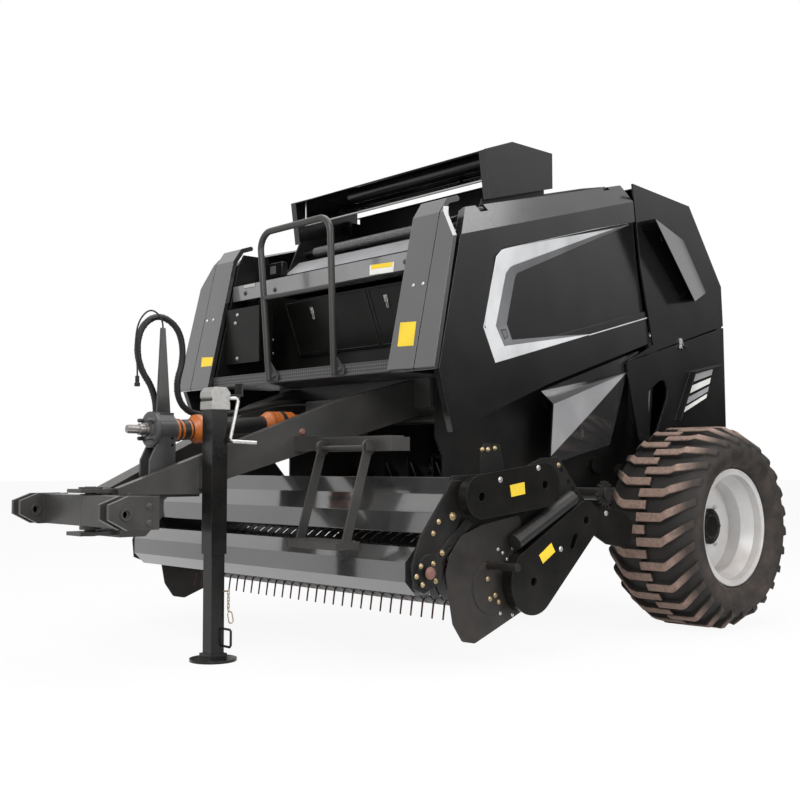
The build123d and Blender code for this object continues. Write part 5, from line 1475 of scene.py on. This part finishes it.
class Stage:
    """Floor, light and camera."""

    camera_place: Point = (4.5917, -5.3590, 0.8591)
    camera_turn: tuple[float, float, float] = (47.5907, 3.3399, -0.0654)
    focal_px: float = 1134.58
    floor_half: float = 60.0
    floor_glow: float = 0.92
    lamp_table: tuple[tuple[str, Point, float, float], ...] = (
        ("key", (3.5, -5.5, 5.5), 3.5, 300.0), ("top", (0.0, 1.0, 7.0), 6.0, 330.0),
        ("fill", (6.5, 1.5, 3.0), 3.0, 140.0))

    def build(self) -> None:
        """Builds floor, world, lamps and camera."""
        self.floor()
        self.world()
        self.flag()
        self.lamps()
        self.camera()
        bpy.context.scene.view_settings.view_transform = "Standard"

    @staticmethod
    def seen_rays(tree: bpy.types.NodeTree) -> bpy.types.NodeSocket:
        """One for rays that see the surround: from the camera, off a gloss or through glass.

        Args:
            tree: the node tree that takes the nodes.

        Returns:
            The value's socket.
        """
        path = tree.nodes.new("ShaderNodeLightPath")
        seen = path.outputs["Is Camera Ray"]
        for name in ("Is Glossy Ray", "Is Transmission Ray"):
            node = tree.nodes.new("ShaderNodeMath")
            node.operation = "MAXIMUM"
            tree.links.new(seen, node.inputs[0])
            tree.links.new(path.outputs[name], node.inputs[1])
            seen = node.outputs[0]
        return seen

    def floor(self) -> None:
        """A plain pale floor that keeps the object's shadow."""
        data = bpy.data.meshes.new("floor")
        side = self.floor_half
        corners = [(-side, -side, 0), (side, -side, 0), (side, side, 0), (-side, side, 0)]
        data.from_pydata(corners, [], [(0, 1, 2, 3)])
        floor = bpy.data.objects.new("floor", data)
        bpy.context.scene.collection.objects.link(floor)
        material = bpy.data.materials.new("floor")
        material.use_nodes = True
        tree = material.node_tree
        shader = tree.nodes["Principled BSDF"]
        shader.inputs["Base Color"].default_value = (0.80, 0.80, 0.80, 1)
        shader.inputs["Roughness"].default_value = 0.9
        shader.inputs["Specular IOR Level"].default_value = 0.0
        glow = tree.nodes.new("ShaderNodeEmission")
        glow.inputs["Strength"].default_value = 1.0
        share = tree.nodes.new("ShaderNodeMath")
        share.operation = "MULTIPLY"
        share.inputs[1].default_value = self.floor_glow
        mixer = tree.nodes.new("ShaderNodeMixShader")
        tree.links.new(self.seen_rays(tree), share.inputs[0])
        tree.links.new(share.outputs[0], mixer.inputs[0])
        tree.links.new(shader.outputs[0], mixer.inputs[1])
        tree.links.new(glow.outputs[0], mixer.inputs[2])
        tree.links.new(mixer.outputs[0], tree.nodes["Material Output"].inputs[0])
        data.materials.append(material)

    def flag(self) -> None:
        """A dark studio flag beside the machine, paler upward, which only gloss on the near side shows."""
        data = bpy.data.meshes.new("studio_flag")
        away, along = Vector((0.74, 0.67, 0)), Vector((-0.67, 0.74, 0))
        rows = [away * reach + Vector((0, 0, height)) for reach, height in
                ((3.2, 0.01), (6.0, 0.01), (13.0, 0.01), (13.0, 2.5), (13.0, 7.0))]
        corners = [row + along * wide for row in rows for wide in (-14.0, 14.0)]
        faces = [(2 * k, 2 * k + 1, 2 * k + 3, 2 * k + 2) for k in range(len(rows) - 1)]
        data.from_pydata([tuple(c) for c in corners], [], faces)
        flag = bpy.data.objects.new("studio_flag", data)
        bpy.context.scene.collection.objects.link(flag)
        flag.visible_camera = flag.visible_diffuse = flag.visible_shadow = flag.visible_transmission = False
        material = bpy.data.materials.new("studio_flag")
        material.use_nodes = True
        tree = material.node_tree
        tree.nodes.remove(tree.nodes["Principled BSDF"])
        place = tree.nodes.new("ShaderNodeTexCoord")
        split = tree.nodes.new("ShaderNodeSeparateXYZ")
        ramp = tree.nodes.new("ShaderNodeMapRange")
        for index, value in enumerate((1.7, 6.5, 0.01, 1.0), 1):
            ramp.inputs[index].default_value = value
        glow = tree.nodes.new("ShaderNodeEmission")
        tree.links.new(place.outputs["Object"], split.inputs[0])
        tree.links.new(split.outputs["Z"], ramp.inputs[0])
        tree.links.new(ramp.outputs[0], glow.inputs["Strength"])
        tree.links.new(glow.outputs[0], tree.nodes["Material Output"].inputs[0])
        data.materials.append(material)

    def world(self) -> None:
        """A white surround for the camera and for reflections, and a plain soft light."""
        world = bpy.data.worlds.new("studio")
        world.use_nodes = True
        tree = world.node_tree
        soft = tree.nodes["Background"]
        soft.inputs["Color"].default_value = (1, 1, 1, 1)
        soft.inputs["Strength"].default_value = 0.50
        white = tree.nodes.new("ShaderNodeBackground")
        white.inputs["Color"].default_value = (1, 1, 1, 1)
        white.inputs["Strength"].default_value = 1.0
        mixer = tree.nodes.new("ShaderNodeMixShader")
        tree.links.new(self.seen_rays(tree), mixer.inputs[0])
        tree.links.new(soft.outputs[0], mixer.inputs[1])
        tree.links.new(white.outputs[0], mixer.inputs[2])
        tree.links.new(mixer.outputs[0], tree.nodes["World Output"].inputs[0])
        bpy.context.scene.world = world

    def lamps(self) -> None:
        """Large soft lamps."""
        for name, place, size, power in self.lamp_table:
            data = bpy.data.lights.new(name, "AREA")
            data.size = size
            data.energy = power
            lamp = bpy.data.objects.new(name, data)
            lamp.location = place
            lamp.rotation_euler = (Vector((0, 0, 1.0)) - Vector(place)).to_track_quat("-Z", "Y").to_euler()
            bpy.context.scene.collection.objects.link(lamp)

    def camera(self) -> None:
        """The camera at the photograph's viewing angle."""
        data = bpy.data.cameras.new("camera")
        data.sensor_width = 36.0
        data.lens = 36.0 * self.focal_px / PHOTO_SIDE
        data.clip_end = 200
        turn, pitch, roll = (math.radians(v) for v in self.camera_turn)
        level = Vector((math.cos(turn), math.sin(turn), 0))
        onward = Vector((-math.sin(turn), math.cos(turn), 0))
        ahead = onward * math.cos(pitch) + Vector((0, 0, math.sin(pitch)))
        upright = level.cross(ahead)
        right = level * math.cos(roll) + upright * math.sin(roll)
        up = upright * math.cos(roll) - level * math.sin(roll)
        camera = bpy.data.objects.new("camera", data)
        camera.matrix_world = Matrix.Translation(at(*self.camera_place)) @ Matrix(
            (right, up, -ahead)).transposed().to_4x4()
        bpy.context.scene.collection.objects.link(camera)
        bpy.context.scene.camera = camera


def main() -> None:
    """Sets up the picture, then the cords, then every other piece in order."""
    logging.basicConfig(level=logging.INFO, format="%(name)s: %(message)s")
    Stage().build()
    dress_nodes()
    Cords().build()
    for side in (1, -1):
        Tyre(side).build()
        WheelDress(side).build()
        DoorTrim(side).build()
        LampTray(side).build()
    for bolts in BOLT_SETS:
        bolts.build()
    for plate in PLATES:
        plate.build()
    JackDress().build()
    HitchDress().build()
    FrontDress().build()
    ReelBands().build()


if __name__ == "__main__":
    main()
